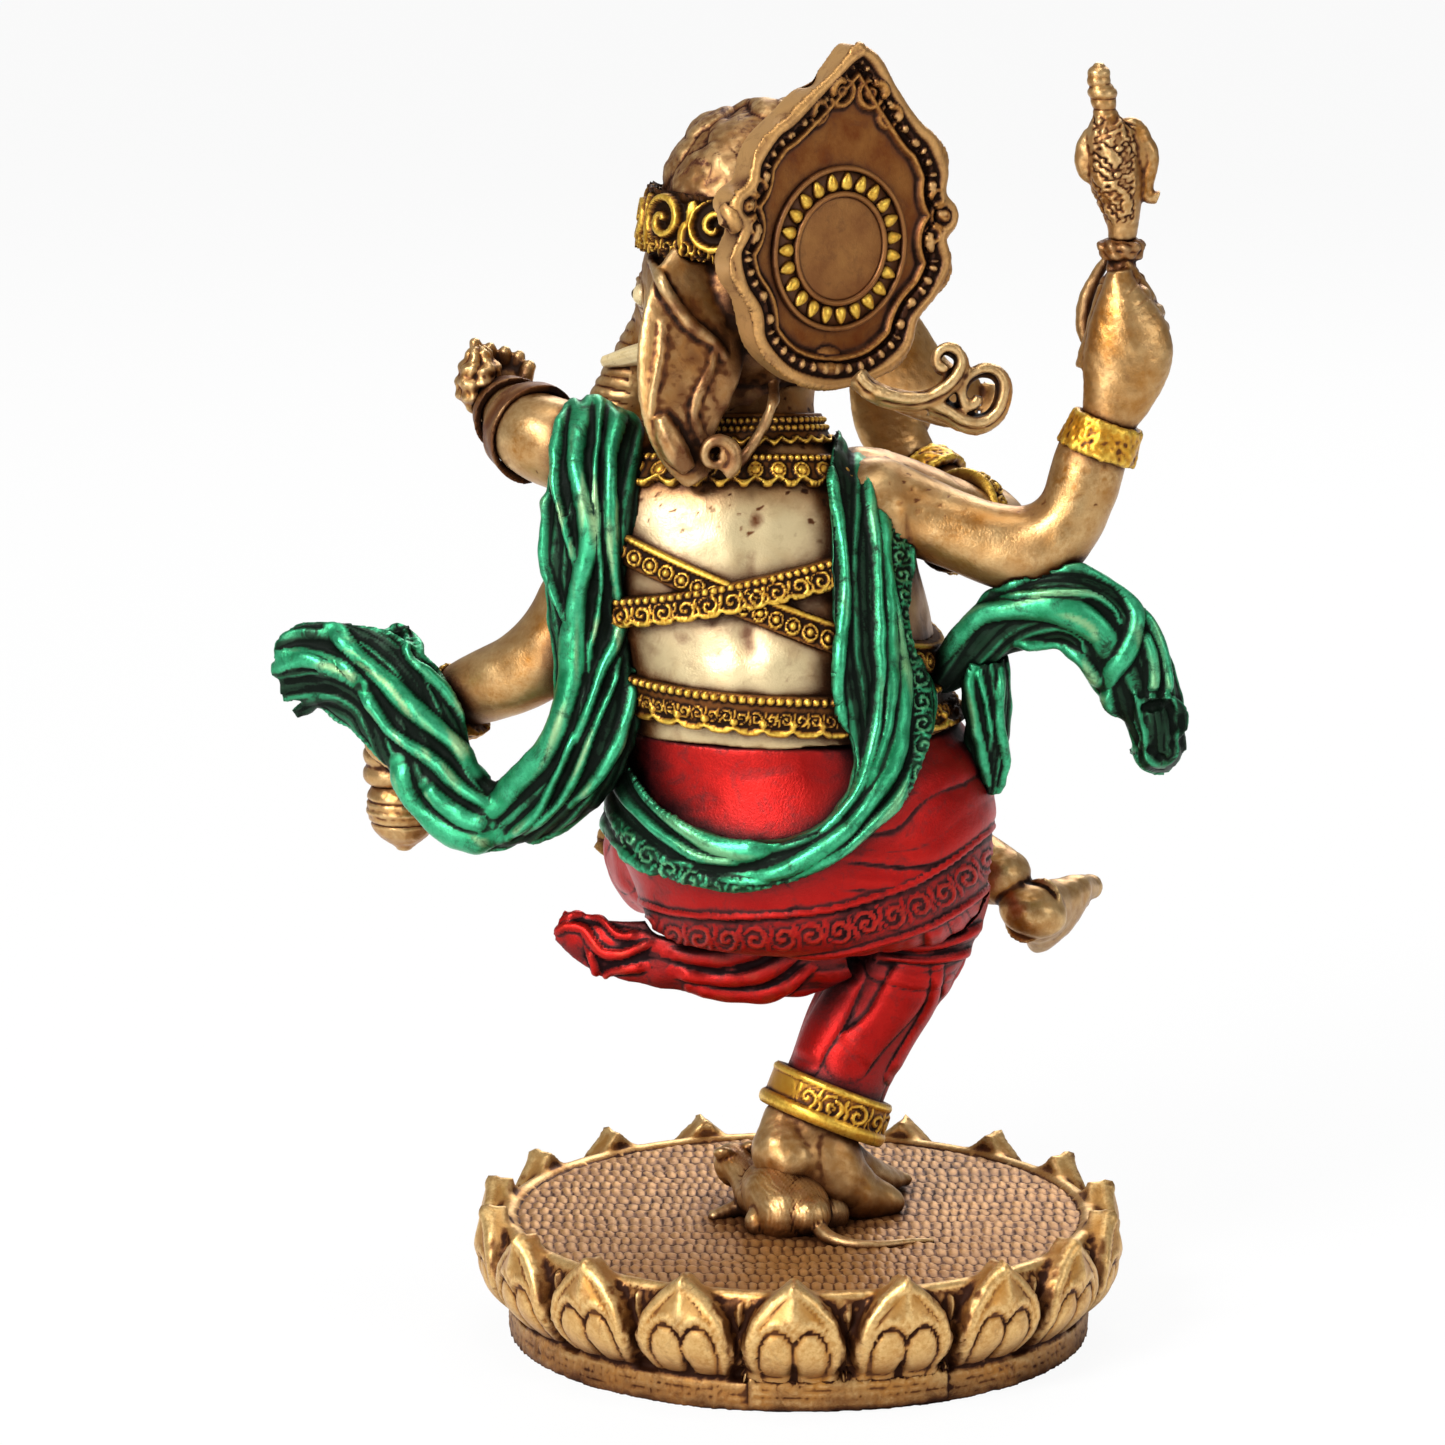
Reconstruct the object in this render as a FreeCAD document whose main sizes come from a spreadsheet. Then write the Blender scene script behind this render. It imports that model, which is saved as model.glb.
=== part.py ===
"""A dancing Ganesha idol in cold-cast resin, standing on a lotus base, as a FreeCAD document.

The idol is built the way its castings are: a base, a figure of limbs lofted along a skeleton, the
dress and scarf laid over the body, the ornaments worn on the limbs, and the head, crown and back plate.
Frame: origin at the middle of the base's underside, +Z up, +Y the way the chest faces, -Y the back.
Lengths are in millimetres and angles in degrees.
"""
import FreeCAD, Part
import math
import os
import Sketcher
from FreeCAD import Placement, Rotation, Vector

doc = FreeCAD.newDocument("ganesha_idol")

# ---------------------------------------------------------------- driving dimensions

SIZES = {
    # Lotus base: a turned disc with a raised rim, and petals round its wall.
    "base_height": 27.5, "rim_radius": 66.5, "rim_width": 2.6, "deck_depth": 1.4,
    "foot_radius": 65.4, "foot_height": 6.5, "neck_radius": 62.2, "neck_height": 8.5,
    "petal_count": 18, "petal_half_width": 10.6, "petal_thickness": 3.6, "petal_turn": -1.5,
    "petal_foot": 7.5, "petal_rise": 3.6,
    "pad_radius": 58.0, "pad_thickness": 1.5, "pad_gap": 0.3,
    # Share of a limb's end that its rounded tip takes.
    "round_off": 0.96,
    # Steel rod that carries the figure on its one leg.
    "rod_radius": 1.6, "rod_seat": 12.0,
    # Ornaments: how far each stands out from what it is worn on, and how wide it is.
    "bangle_stand": 1.7, "bangle_width": 9.0, "armlet_stand": 1.9, "armlet_width": 6.0,
    "cuff_stand": 2.2, "cuff_width": 9.0, "anklet_stand": 1.8, "anklet_width": 7.0,
    "belt_stand": 1.9, "belt_width": 8.5, "belt_tilt": 3.0, "belt_height": 148.0,
    "strap_stand": 1.6, "strap_width": 6.0, "strap_tilt": 21.0, "strap_height": 170.5,
    "cross_tilt": 12.0, "cross_height": 174.5, "cross_stand": 2.6,
    "necklace_stand": 1.8, "necklace_width": 6.5, "necklace_height": 196.5, "necklace_tilt": 10.0,
    "collar_stand": 1.7, "collar_width": 7.0,
    # Scarf: thickness over the back.
    "scarf_stand": 4.2,
    # Head frame: where the head is, how far it turns to its left and leans to its right.
    "head_x": -11.5, "head_y": 7.0, "head_z": 234.0, "head_turn": 36.0, "head_lean": 7.0,
    # Crown, back plate and its round medallion.
    "band_height": 15.0, "medallion_drop": 8.3, "band_stand": 2.2,
    "plate_half_width": 30.5, "plate_half_height": 38.5, "plate_thickness": 7.0, "plate_rim": 4.6,
    "plate_recess": 1.6, "plate_back": 26.5, "plate_up": 22.5, "plate_right": 1.6,
    "medallion_radius": 18.2, "medallion_ring": 1.3, "medallion_disc": 11.9, "medallion_stand": 1.5,
    "drop_count": 23, "drop_length": 4.4, "drop_width": 2.5,
    # Things held in the hands.
    "shaft_radius": 2.6, "pin_radius": 0.8, "head_gap": 0.25,
    "pot_radius": 7.6, "pot_height": 22.0,
    "bud_radius": 5.2, "bud_height": 13.0,
}

# Skeleton stations: centre x, y, z, then half width and half depth of the section there.
STATIONS = {
    # Standing leg, from inside the hips down to the cuff.
    "standing_hip": (27.5, 5.0, 104.0, 15.5, 16.0),
    "standing_thigh": (25.5, 6.0, 90.0, 13.8, 15.0),
    "standing_knee": (18.6, 7.0, 77.0, 12.8, 14.2),
    "standing_calf": (11.2, 4.6, 63.5, 11.8, 13.0),
    "standing_hem": (4.8, 1.2, 47.6, 11.8, 12.2),
    # Standing foot: ankle down to the heel, then out to the toes.
    "ankle_top": (5.6, 1.0, 54.0, 9.4, 9.4),
    "ankle_low": (2.6, -3.0, 47.0, 8.0, 8.4),
    "heel_back": (-2.2, -9.5, 42.0, 6.2, 5.8),
    "foot_arch": (5.5, 3.0, 38.5, 8.2, 7.2),
    "foot_ball": (13.0, 13.5, 31.8, 9.4, 5.3),
    "foot_end": (18.0, 21.0, 29.6, 8.2, 3.2),
    # Hips and the wrapped cloth over them, from the hem up to the waist.
    "hem_low": (4.0, 1.0, 92.0, 30.0, 26.0),
    "hem_wide": (3.5, 1.0, 99.0, 38.5, 34.0),
    "hips": (2.6, 2.0, 112.0, 41.4, 37.0),
    "hips_high": (-0.5, 3.0, 126.0, 41.0, 36.0),
    "waist": (-4.0, 3.0, 140.0, 36.0, 33.0),
    # Torso, from the waist to the neck. The belly stands out to the front.
    "belly": (-6.5, 6.0, 153.0, 36.5, 37.0),
    "ribs": (-9.5, 5.0, 167.0, 36.5, 34.0),
    "chest": (-12.0, 2.5, 180.0, 36.0, 28.0),
    "shoulders": (-12.0, 1.5, 191.0, 34.0, 21.5),
    "neck_root": (-11.0, 2.0, 199.5, 22.0, 16.5),
    "neck": (-10.5, 4.0, 207.0, 14.0, 13.5),
    "neck_top": (-11.0, 6.5, 216.0, 14.0, 13.5),
    # Raised leg, from the hips to the knee on the left, then the shin across the front.
    "raised_hip": (-8.0, 14.0, 108.0, 18.0, 17.5),
    "raised_thigh": (-22.0, 29.0, 104.0, 17.0, 16.5),
    "raised_knee": (-29.0, 46.0, 99.0, 14.5, 14.5),
    "raised_shin": (-7.0, 56.0, 94.0, 12.5, 12.5),
    "raised_calf": (18.0, 52.5, 95.5, 11.5, 11.5),
    "raised_hem": (37.0, 42.0, 98.5, 9.2, 9.2),
    "raised_ankle": (46.5, 34.5, 96.5, 7.0, 7.0),
    "raised_heel": (53.4, 29.5, 89.4, 8.4, 6.2),
    "raised_arch": (56.6, 37.0, 88.0, 7.6, 5.6),
    "raised_ball": (60.0, 45.0, 85.2, 10.8, 4.8),
    "raised_toes": (61.8, 50.0, 84.0, 10.2, 3.4),
    # Rear right arm, raised with the goad.
    "rr_shoulder": (17.0, -3.0, 187.0, 12.5, 12.0),
    "rr_upper": (35.0, -6.0, 183.5, 9.2, 9.2),
    "rr_elbow": (54.0, -9.0, 181.5, 9.4, 9.4),
    "rr_forearm": (62.0, -9.0, 194.5, 7.9, 7.9),
    "rr_wrist": (67.3, -8.5, 209.0, 6.1, 6.0),
    "rr_palm": (70.0, -9.0, 217.0, 8.6, 5.8),
    "rr_knuckles": (71.6, -8.5, 226.0, 9.6, 6.2),
    "rr_grip": (70.0, -7.5, 236.0, 5.6, 4.6),
    "rr_finger_tip": (69.3, -7.0, 242.0, 2.6, 2.4),
    # Hook of the goad's head.
    "hook_root": (74.0, -3.0, 269.5, 2.4, 2.4),
    "hook_out": (76.0, -3.0, 267.0, 2.0, 2.0),
    "hook_down": (75.8, -3.0, 262.5, 1.7, 1.7),
    "hook_end": (75.4, -3.0, 258.5, 1.7, 1.7),
    "hook_tip": (78.0, -3.0, 257.6, 1.7, 1.7),
    # Front right arm, bent forward with the palm raised.
    "fr_shoulder": (15.0, 8.0, 189.0, 11.5, 11.5),
    "fr_upper": (32.0, 16.0, 183.2, 9.4, 9.4),
    "fr_elbow": (43.0, 30.0, 177.5, 9.0, 9.0),
    "fr_forearm": (37.0, 45.0, 180.5, 7.6, 7.6),
    "fr_wrist": (27.0, 54.5, 187.5, 5.8, 5.4),
    "fr_palm": (22.0, 58.5, 194.5, 7.6, 4.4),
    "fr_fingers": (19.0, 60.5, 205.0, 7.4, 2.6),
    # Rear left arm, out to the side with a lotus bud.
    "rl_shoulder": (-38.0, 4.0, 195.0, 12.0, 11.5),
    "rl_upper": (-49.5, 2.5, 200.5, 10.4, 10.4),
    "rl_elbow": (-58.5, 7.0, 203.2, 9.8, 9.8),
    "rl_forearm": (-63.0, 16.0, 204.8, 8.2, 8.2),
    "rl_wrist": (-66.0, 24.0, 206.5, 6.0, 5.8),
    "rl_palm": (-67.0, 29.0, 208.5, 7.0, 5.0),
    "rl_fingers": (-67.5, 32.5, 212.5, 6.2, 3.4),
    # Front left arm, held low with the pot.
    "fl_shoulder": (-38.0, 6.0, 178.0, 12.0, 12.0),
    "fl_upper": (-49.0, 4.0, 164.0, 10.2, 10.2),
    "fl_elbow": (-57.0, 3.0, 154.0, 9.4, 9.4),
    "fl_forearm": (-68.0, 6.0, 147.5, 8.4, 8.4),
    "fl_wrist": (-80.0, 12.0, 139.5, 6.0, 5.8),
    "fl_palm": (-87.5, 16.0, 134.0, 7.6, 5.8),
    "fl_knuckles": (-91.0, 19.0, 127.5, 7.8, 5.6),
    # Mouse crouching under the heel, rump towards the back.
    "mouse_rump": (2.0, -18.5, 31.4, 5.2, 4.8),
    "mouse_haunch": (-0.5, -14.0, 32.2, 7.4, 6.6),
    "mouse_back": (-5.0, -7.0, 32.2, 7.2, 6.4),
    "mouse_shoulder": (-9.5, 0.5, 31.6, 5.8, 5.8),
    "mouse_nape": (-12.0, 4.0, 34.5, 4.2, 4.0),
    "mouse_skull": (-13.5, 7.0, 35.5, 4.8, 4.4),
    "mouse_muzzle": (-15.5, 11.5, 34.0, 2.0, 1.8),
    "tail_root": (4.5, -21.5, 29.0, 1.9, 1.9),
    "tail_bend": (9.0, -26.5, 27.4, 1.5, 1.5),
    "tail_side": (16.0, -28.0, 27.0, 1.2, 1.2),
    "tail_turn": (23.0, -25.5, 26.9, 1.0, 1.0),
    "tail_end": (30.0, -23.5, 26.6, 0.7, 0.7),
    # Flying tail of the dhoti, on the left under the hem.
    "skirt_root": (8.0, -4.0, 93.0, 11.5, 8.0),
    "skirt_low": (-8.0, -6.0, 86.5, 9.0, 5.0),
    "skirt_mid": (-24.0, -5.0, 87.0, 8.6, 3.8),
    "skirt_wave": (-39.0, -2.0, 88.0, 7.4, 2.8),
    "skirt_end": (-54.0, 4.0, 92.5, 4.2, 2.0),
    # Left side of the scarf: over the shoulder and down behind the arms.
    "column_top": (-43.5, 8.0, 206.0, 9.0, 3.0),
    "column_shoulder": (-44.0, -8.0, 204.5, 10.0, 3.6),
    "column_high": (-45.5, -14.0, 192.0, 10.4, 4.4),
    "column_mid": (-46.5, -13.5, 172.0, 9.6, 4.8),
    "column_low": (-45.0, -15.5, 152.0, 9.0, 5.2),
    "column_foot": (-47.0, -16.0, 137.0, 9.8, 5.6),
    # It swings out below the hip and flies up over the lower arm.
    "fly_low": (-57.0, -10.0, 125.0, 9.0, 4.6),
    "fly_turn": (-69.0, -6.0, 119.8, 8.4, 4.2),
    "fly_rise": (-80.0, -3.0, 129.0, 9.6, 3.8),
    "fly_high": (-88.5, 0.0, 143.0, 11.5, 3.4),
    "fly_end": (-101.5, 4.0, 150.6, 11.0, 2.8),
    "fly_tip": (-116.0, 8.0, 148.4, 6.5, 2.0),
    # Right scarf drape: from the waist over the elbow and down.
    "drape_root": (26.0, -5.0, 151.0, 5.0, 4.0),
    "drape_rise": (44.0, -11.0, 164.0, 7.6, 5.0),
    "drape_top": (60.0, -15.0, 168.5, 9.4, 5.6),
    "drape_fall": (70.8, -14.5, 157.8, 9.4, 5.2),
    "drape_low": (77.0, -13.5, 146.0, 7.6, 4.4),
    "drape_end": (79.8, -13.0, 134.8, 6.0, 3.4),
    "hang_root": (40.0, -9.0, 156.0, 5.6, 4.0),
    "hang_mid": (41.5, -8.0, 140.0, 5.2, 3.6),
    "hang_end": (41.0, -6.0, 125.0, 3.6, 2.4),
    # Sash of pleats that hangs in front of the raised leg.
    "sash_root": (-20.0, 36.0, 124.0, 9.0, 3.2),
    "sash_mid": (-33.0, 50.0, 112.0, 8.0, 2.8),
    "sash_end": (-42.0, 50.0, 96.0, 6.5, 2.4),
    # Head frame stations: x is towards the idol's right, y the way the face looks.
    "skull_back": (0.0, -17.0, 1.0, 8.0, 8.0),
    "skull_rear": (0.0, -14.0, 1.0, 17.5, 17.5),
    "skull_wide": (0.0, 0.0, 0.0, 22.0, 21.5),
    "brow": (0.0, 12.0, -1.0, 19.5, 19.5),
    "cheeks": (0.0, 19.5, -4.0, 14.5, 15.5),
    "skull_front": (0.0, 24.0, -8.0, 10.8, 11.6),
    "trunk_start": (0.0, 18.0, -5.5, 8.2, 9.0),
    "trunk_root": (0.0, 26.0, -10.0, 9.2, 9.8),
    "trunk_high": (-1.5, 32.0, -18.0, 8.4, 8.4),
    "trunk_mid": (-6.0, 37.0, -31.0, 7.2, 7.2),
    "trunk_low": (-9.0, 39.0, -45.0, 6.0, 6.0),
    "trunk_bend": (-4.0, 40.5, -57.0, 5.2, 5.2),
    "trunk_curl": (7.0, 42.0, -58.0, 4.4, 4.4),
    "trunk_tip": (12.0, 43.0, -50.0, 3.4, 3.4),
    "trunk_lip": (12.5, 43.2, -47.5, 2.2, 2.2),
    "left_ear_top": (-15.5, -7.0, 10.0, 8.0, 2.4),
    "left_ear_wide": (-22.5, -11.5, -5.0, 12.0, 2.6),
    "left_ear_low": (-25.0, -14.0, -21.0, 10.6, 2.4),
    "left_ear_tip": (-23.5, -14.5, -34.0, 5.5, 2.2),
    "right_ear_top": (17.5, -3.0, 10.0, 8.0, 2.4),
    "right_ear_wide": (27.0, -10.0, -3.0, 12.0, 2.6),
    "right_ear_low": (36.0, -14.5, -14.0, 11.0, 2.8),
    "right_ear_tip": (46.0, -18.5, -19.0, 6.8, 2.8),
    "left_ear_curl": (-19.5, -15.0, -37.5, 4.4, 3.4),
    "right_ear_curl": (54.5, -22.0, -19.0, 4.4, 3.4),
    "crown_low": (0.0, 0.0, 8.0, 22.8, 22.4),
    "crown_mid": (0.0, -0.5, 21.0, 22.4, 22.0),
    "crown_high": (0.5, -1.0, 31.0, 19.6, 19.0),
    "crown_top": (1.0, -1.5, 38.5, 13.5, 13.0),
    "crown_tip": (1.0, -1.5, 43.5, 6.0, 6.0),
}

sheet = doc.addObject("Spreadsheet::Sheet", "Sizes")
sheet_row = 0


def write_cell(alias, number):
    """Give one driving dimension its cell and its alias."""
    global sheet_row
    sheet_row += 1
    sheet.set(f"A{sheet_row}", alias.replace("_", " "))
    sheet.set(f"B{sheet_row}", str(number))
    sheet.setAlias(f"B{sheet_row}", alias)


for alias, number in SIZES.items():
    write_cell(alias, number)
for station, numbers in STATIONS.items():
    for part_name, number in zip(("x", "y", "z", "wide", "deep"), numbers):
        write_cell(f"{station}_{part_name}", number)
doc.recompute()


def size(alias):
    """The number in a cell."""
    return float(sheet.get(alias))


def centre(station):
    """A station's middle."""
    return Vector(size(station + "_x"), size(station + "_y"), size(station + "_z"))


# ---------------------------------------------------------------- tools for the skeleton

PARTS = {}


def keep(label, thing):
    """Name a finished sub-part. Its label names its file."""
    thing.Label = label
    PARTS[label] = thing
    return thing


def axes_along(direction, facing):
    """A rotation whose Z runs along direction and whose Y is as near to facing as it can be."""
    along = Vector(direction).normalize()
    deep = facing - along * facing.dot(along)
    deep.normalize()
    return Rotation(deep.cross(along), deep, along, "ZXY")


def section(station, direction, facing, stand=None, name=None):
    """An ellipse across a limb at a station; stand names a cell that is added to both radii."""
    wide, deep = size(station + "_wide"), size(station + "_deep")
    ring = doc.addObject("Part::Ellipse", name or station)
    extra = f" + Sizes.{stand}" if stand else ""
    pair = f"Sizes.{station}_wide; Sizes.{station}_deep"
    ring.setExpression("MajorRadius", f"max({pair}){extra}")
    ring.setExpression("MinorRadius", f"min({pair}){extra}")
    turn = axes_along(direction, facing)
    if deep > wide:
        turn = turn.multiply(Rotation(Vector(0, 0, 1), 90))
    ring.Placement = Placement(centre(station), turn)
    for axis in "xyz":
        ring.setExpression(f"Placement.Base.{axis}", f"Sizes.{station}_{axis}")
    return ring


def directions(names, first=None, last=None):
    """The way a limb runs at each of its stations, from the stations on either side."""
    spots = [centre(n) for n in names]
    ways = []
    for i in range(len(spots)):
        before, after = spots[max(i - 1, 0)], spots[min(i + 1, len(spots) - 1)]
        ways.append(after - before)
    if first:
        ways[0] = first
    if last:
        ways[-1] = last
    return ways


def limb(name, names, facing=Vector(0, 1, 0), stand=None, first=None, last=None):
    """A solid lofted through the sections at a row of stations."""
    rings = [section(n, way, facing, stand, f"{name}_at_{n}")
             for n, way in zip(names, directions(names, first, last))]
    loft = doc.addObject("Part::Loft", name)
    loft.Sections = rings
    loft.Solid = True
    return loft


def ball(name, station, turn=None):
    """An ellipsoid at a station: it rounds off a limb's end, a little inside the end's edge."""
    thing = doc.addObject("Part::Ellipsoid", name)
    thing.setExpression("Radius2", f"Sizes.{station}_wide * Sizes.round_off")
    thing.setExpression("Radius3", f"Sizes.{station}_deep * Sizes.round_off")
    thing.setExpression("Radius1", f"Sizes.{station}_deep * Sizes.round_off")
    thing.Placement = Placement(centre(station), turn or Rotation())
    return thing


def fused(name, first, *others):
    """One casting of several forms, joined one after another."""
    whole = first
    for i, other in enumerate(others):
        joint = doc.addObject("Part::Fuse", name if i == len(others) - 1 else f"{name}_with_{i}")
        joint.Base, joint.Tool = whole, other
        whole = joint
    return whole


def shared(name, one, other):
    """The part of one form that lies inside another."""
    both = doc.addObject("Part::Common", name)
    both.Base, both.Tool = one, other
    return both


def gathered(name, *things):
    """One shape of several forms that repeat round a circle."""
    whole = doc.addObject("Part::MultiFuse", name)
    whole.Shapes = list(things)
    return whole


def seated(name, thing, *hosts):
    """A piece with its neighbours' shapes taken out of it, so that it seats on them face to face."""
    for i, host in enumerate(hosts):
        cut = doc.addObject("Part::Cut", f"{name}_on_{i}")
        cut.Base, cut.Tool = thing, host
        thing = cut
    return thing


def slab(name, middle, width, direction, reach=80.0):
    """A wide flat disc of a cell's width, square to direction: it picks a band out of a form."""
    disc = doc.addObject("Part::Cylinder", name)
    disc.Radius = reach
    disc.setExpression("Height", f"Sizes.{width}")
    turn = Rotation(Vector(0, 0, 1), direction)
    disc.Placement = Placement(middle - direction * (size(width) / 2), turn)
    return disc


def band(name, grown, middle, width, direction, *hosts, reach=80.0):
    """A band worn on a form: the part of its grown copy between two planes, less the form."""
    disc = slab(name + "_slab", middle, width, direction, reach)
    return seated(name, shared(name + "_ring", grown, disc), *hosts)


def between(a, b, share):
    """A point part of the way from one station to another."""
    return centre(a) + (centre(b) - centre(a)) * share


def check():
    """Work out every object in the order it was made, and stop if any of them failed."""
    for thing in doc.Objects:
        if thing != sheet:
            thing.recompute()
    bad = [o.Label for o in doc.Objects if {"Invalid", "Error"} & set(o.State)]
    if bad:
        raise RuntimeError("failed objects: " + ", ".join(bad))


# ---------------------------------------------------------------- shapes drawn as outlines

# Half outline of the back plate, right side from the tip down, in half widths and half heights.
PLATE_SIDE = [(0.0, 1.0), (0.13, 0.92), (0.30, 0.74), (0.47, 0.60), (0.60, 0.50), (0.72, 0.43),
              (0.86, 0.26), (0.88, 0.13), (0.985, 0.05), (0.985, -0.05), (0.90, -0.13),
              (0.965, -0.27), (0.88, -0.46), (0.73, -0.60), (0.66, -0.77), (0.42, -0.93),
              (0.14, -0.995)]
# A lotus petal seen from outside: half widths and heights, from the foot up to the pointed tip.
PETAL_SIDE = [(0.78, 0.0), (0.97, 0.22), (1.0, 0.43), (0.88, 0.62), (0.54, 0.81), (0.19, 0.94)]
# The scarf over the back, x and z in millimetres: down the right, across the hips, up the left.
SCARF = [(24, 206), (25.5, 198), (25.5, 184), (23.5, 171), (25.5, 158), (29.5, 149), (28, 139),
         (23, 130), (16, 122.5), (5, 115), (-9, 110.5), (-22, 110), (-35, 112), (-47, 117), (-52, 124),
         (-51, 134), (-44, 139), (-36, 130), (-22, 122), (-7, 121), (6, 126), (11.5, 137), (8, 150),
         (7, 164), (6.5, 181), (6.5, 197), (8, 205), (15, 209)]


def outline(name, points, place):
    """A sketch of one smooth closed curve through points given in its own plane."""
    sketch = doc.addObject("Sketcher::SketchObject", name)
    curve = Part.BSplineCurve()
    curve.interpolate([Vector(u, v, 0) for u, v in points], PeriodicFlag=True)
    sketch.addGeometry(curve, False)
    sketch.Placement = place
    return sketch


def block(name, sketch, length, back=None):
    """A sketch drawn out along its own normal by a cell's length."""
    solid = doc.addObject("Part::Extrusion", name)
    solid.Base = sketch
    solid.DirMode = "Normal"
    solid.Solid = True
    solid.setExpression("LengthFwd", length)
    if back:
        solid.setExpression("LengthRev", back)
    return solid


def cylinder(name, radius, height, place):
    """A round peg or disc whose radius and height are expressions of cells."""
    peg = doc.addObject("Part::Cylinder", name)
    peg.setExpression("Radius", radius)
    peg.setExpression("Height", height)
    peg.Placement = place
    return peg


def circles(name, rows, axis_x=0.0, axis_y=0.0):
    """A turned solid through level circles: each row is a radius expression and a height."""
    rings = []
    for i, (radius, height) in enumerate(rows):
        ring = doc.addObject("Part::Circle", f"{name}_{i}")
        ring.setExpression("Radius", radius)
        x, y = (axis_x[i], axis_y) if isinstance(axis_x, list) else (axis_x, axis_y)
        ring.Placement = Placement(Vector(x, y, 0), Rotation())
        ring.setExpression("Placement.Base.z", height)
        rings.append(ring)
    loft = doc.addObject("Part::Loft", name)
    loft.Sections = rings
    loft.Solid = True
    return loft


def digit(name, start, end, thick, thin):
    """A finger or toe: a cone from its root to its tip, rounded at the tip."""
    cone = doc.addObject("Part::Cone", name)
    cone.Radius1, cone.Radius2, cone.Height = thick, thin, (end - start).Length
    cone.Placement = Placement(start, Rotation(Vector(0, 0, 1), end - start))
    tip = doc.addObject("Part::Sphere", name + "_tip")
    tip.Radius = thin * 1.02
    tip.Placement = Placement(end, Rotation())
    return [cone, tip]


# ---------------------------------------------------------------- lotus base, pad and rod

def wall(name, extra=""):
    """The bowl of the base, as circles from its neck to its rim; extra grows it."""
    return circles(name, [
        (f"Sizes.neck_radius{extra}", "Sizes.foot_height - 1"),
        (f"Sizes.neck_radius + 1{extra}", "Sizes.neck_height"),
        (f"Sizes.rim_radius - 2{extra}", "Sizes.base_height * 0.52"),
        (f"Sizes.rim_radius + 0.6{extra}", "Sizes.base_height * 0.78"),
        (f"Sizes.rim_radius{extra}", "Sizes.base_height")])


foot_ring = cylinder("foot_ring", "Sizes.foot_radius", "Sizes.foot_height", Placement())
bowl = wall("bowl")
petal_skin = circles("petal_skin", [
    ("Sizes.neck_radius + Sizes.petal_thickness * 0.5", "Sizes.petal_foot - 1"),
    ("Sizes.neck_radius + Sizes.petal_thickness + 2", "Sizes.neck_height + 2"),
    ("Sizes.rim_radius + 0.6 + Sizes.petal_thickness", "Sizes.base_height * 0.52"),
    ("Sizes.rim_radius + 1.6 + Sizes.petal_thickness", "Sizes.base_height * 0.8"),
    ("Sizes.rim_radius + Sizes.petal_thickness", "Sizes.base_height + Sizes.petal_rise")])
petal_hollow = cylinder("petal_hollow", "Sizes.rim_radius - Sizes.rim_width * 0.2", "Sizes.base_height",
                        Placement(Vector(0, 0, size("base_height")), Rotation()))
petal_tall = size("base_height") + size("petal_rise") - size("petal_foot")
petal_points = [(u * size("petal_half_width"), v * petal_tall) for u, v in PETAL_SIDE]
petal_points = petal_points + [(0.0, petal_tall)] + [(-u, v) for u, v in reversed(petal_points)]
petals = []
for i in range(int(size("petal_count"))):
    turn = Rotation(Vector(0, 0, 1), size("petal_turn") + i * 360 / size("petal_count"))
    face = turn.multiply(Rotation(Vector(1, 0, 0), 90))
    spot = turn.multVec(Vector(0, -50, 0)) + Vector(0, 0, size("petal_foot"))
    sketch = outline(f"petal_outline_{i}", petal_points, Placement(spot, face))
    petals.append(block(f"petal_{i}", sketch, "Sizes.rim_radius - 35"))
petal_set = gathered("petal_set", *petals)
petal_row = shared("petal_row", petal_set, petal_skin)
petal_ring = seated("petal_ring", petal_row, petal_hollow)
base_whole = gathered("base_whole", foot_ring, bowl, petal_ring)
deck_cut = cylinder("deck_cut", "Sizes.rim_radius - Sizes.rim_width", "Sizes.deck_depth + 6",
                    Placement(Vector(0, 0, size("base_height") - size("deck_depth")), Rotation()))
pad_cut = cylinder("pad_cut", "Sizes.pad_radius + Sizes.pad_gap", "Sizes.pad_thickness", Placement())
felt_pad = keep("felt_pad", cylinder("pad", "Sizes.pad_radius", "Sizes.pad_thickness", Placement()))

deck_block = cylinder("deck_block", "Sizes.rim_radius - Sizes.rim_width",
                      "Sizes.base_height - Sizes.deck_depth", Placement())
# The rod slants up from the base through the mouse and the foot into the calf.
rod_low, rod_high = Vector(-10.0, -12.0, size("rod_seat")), Vector(15.0, 5.0, 66.0)
armature = keep("armature_rod", cylinder("rod", "Sizes.rod_radius", str((rod_high - rod_low).Length),
                Placement(rod_low, Rotation(Vector(0, 0, 1), rod_high - rod_low))))
lotus_base = keep("lotus_base", seated("base_cut", base_whole, deck_cut, pad_cut, armature))

# ---------------------------------------------------------------- mouse

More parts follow.
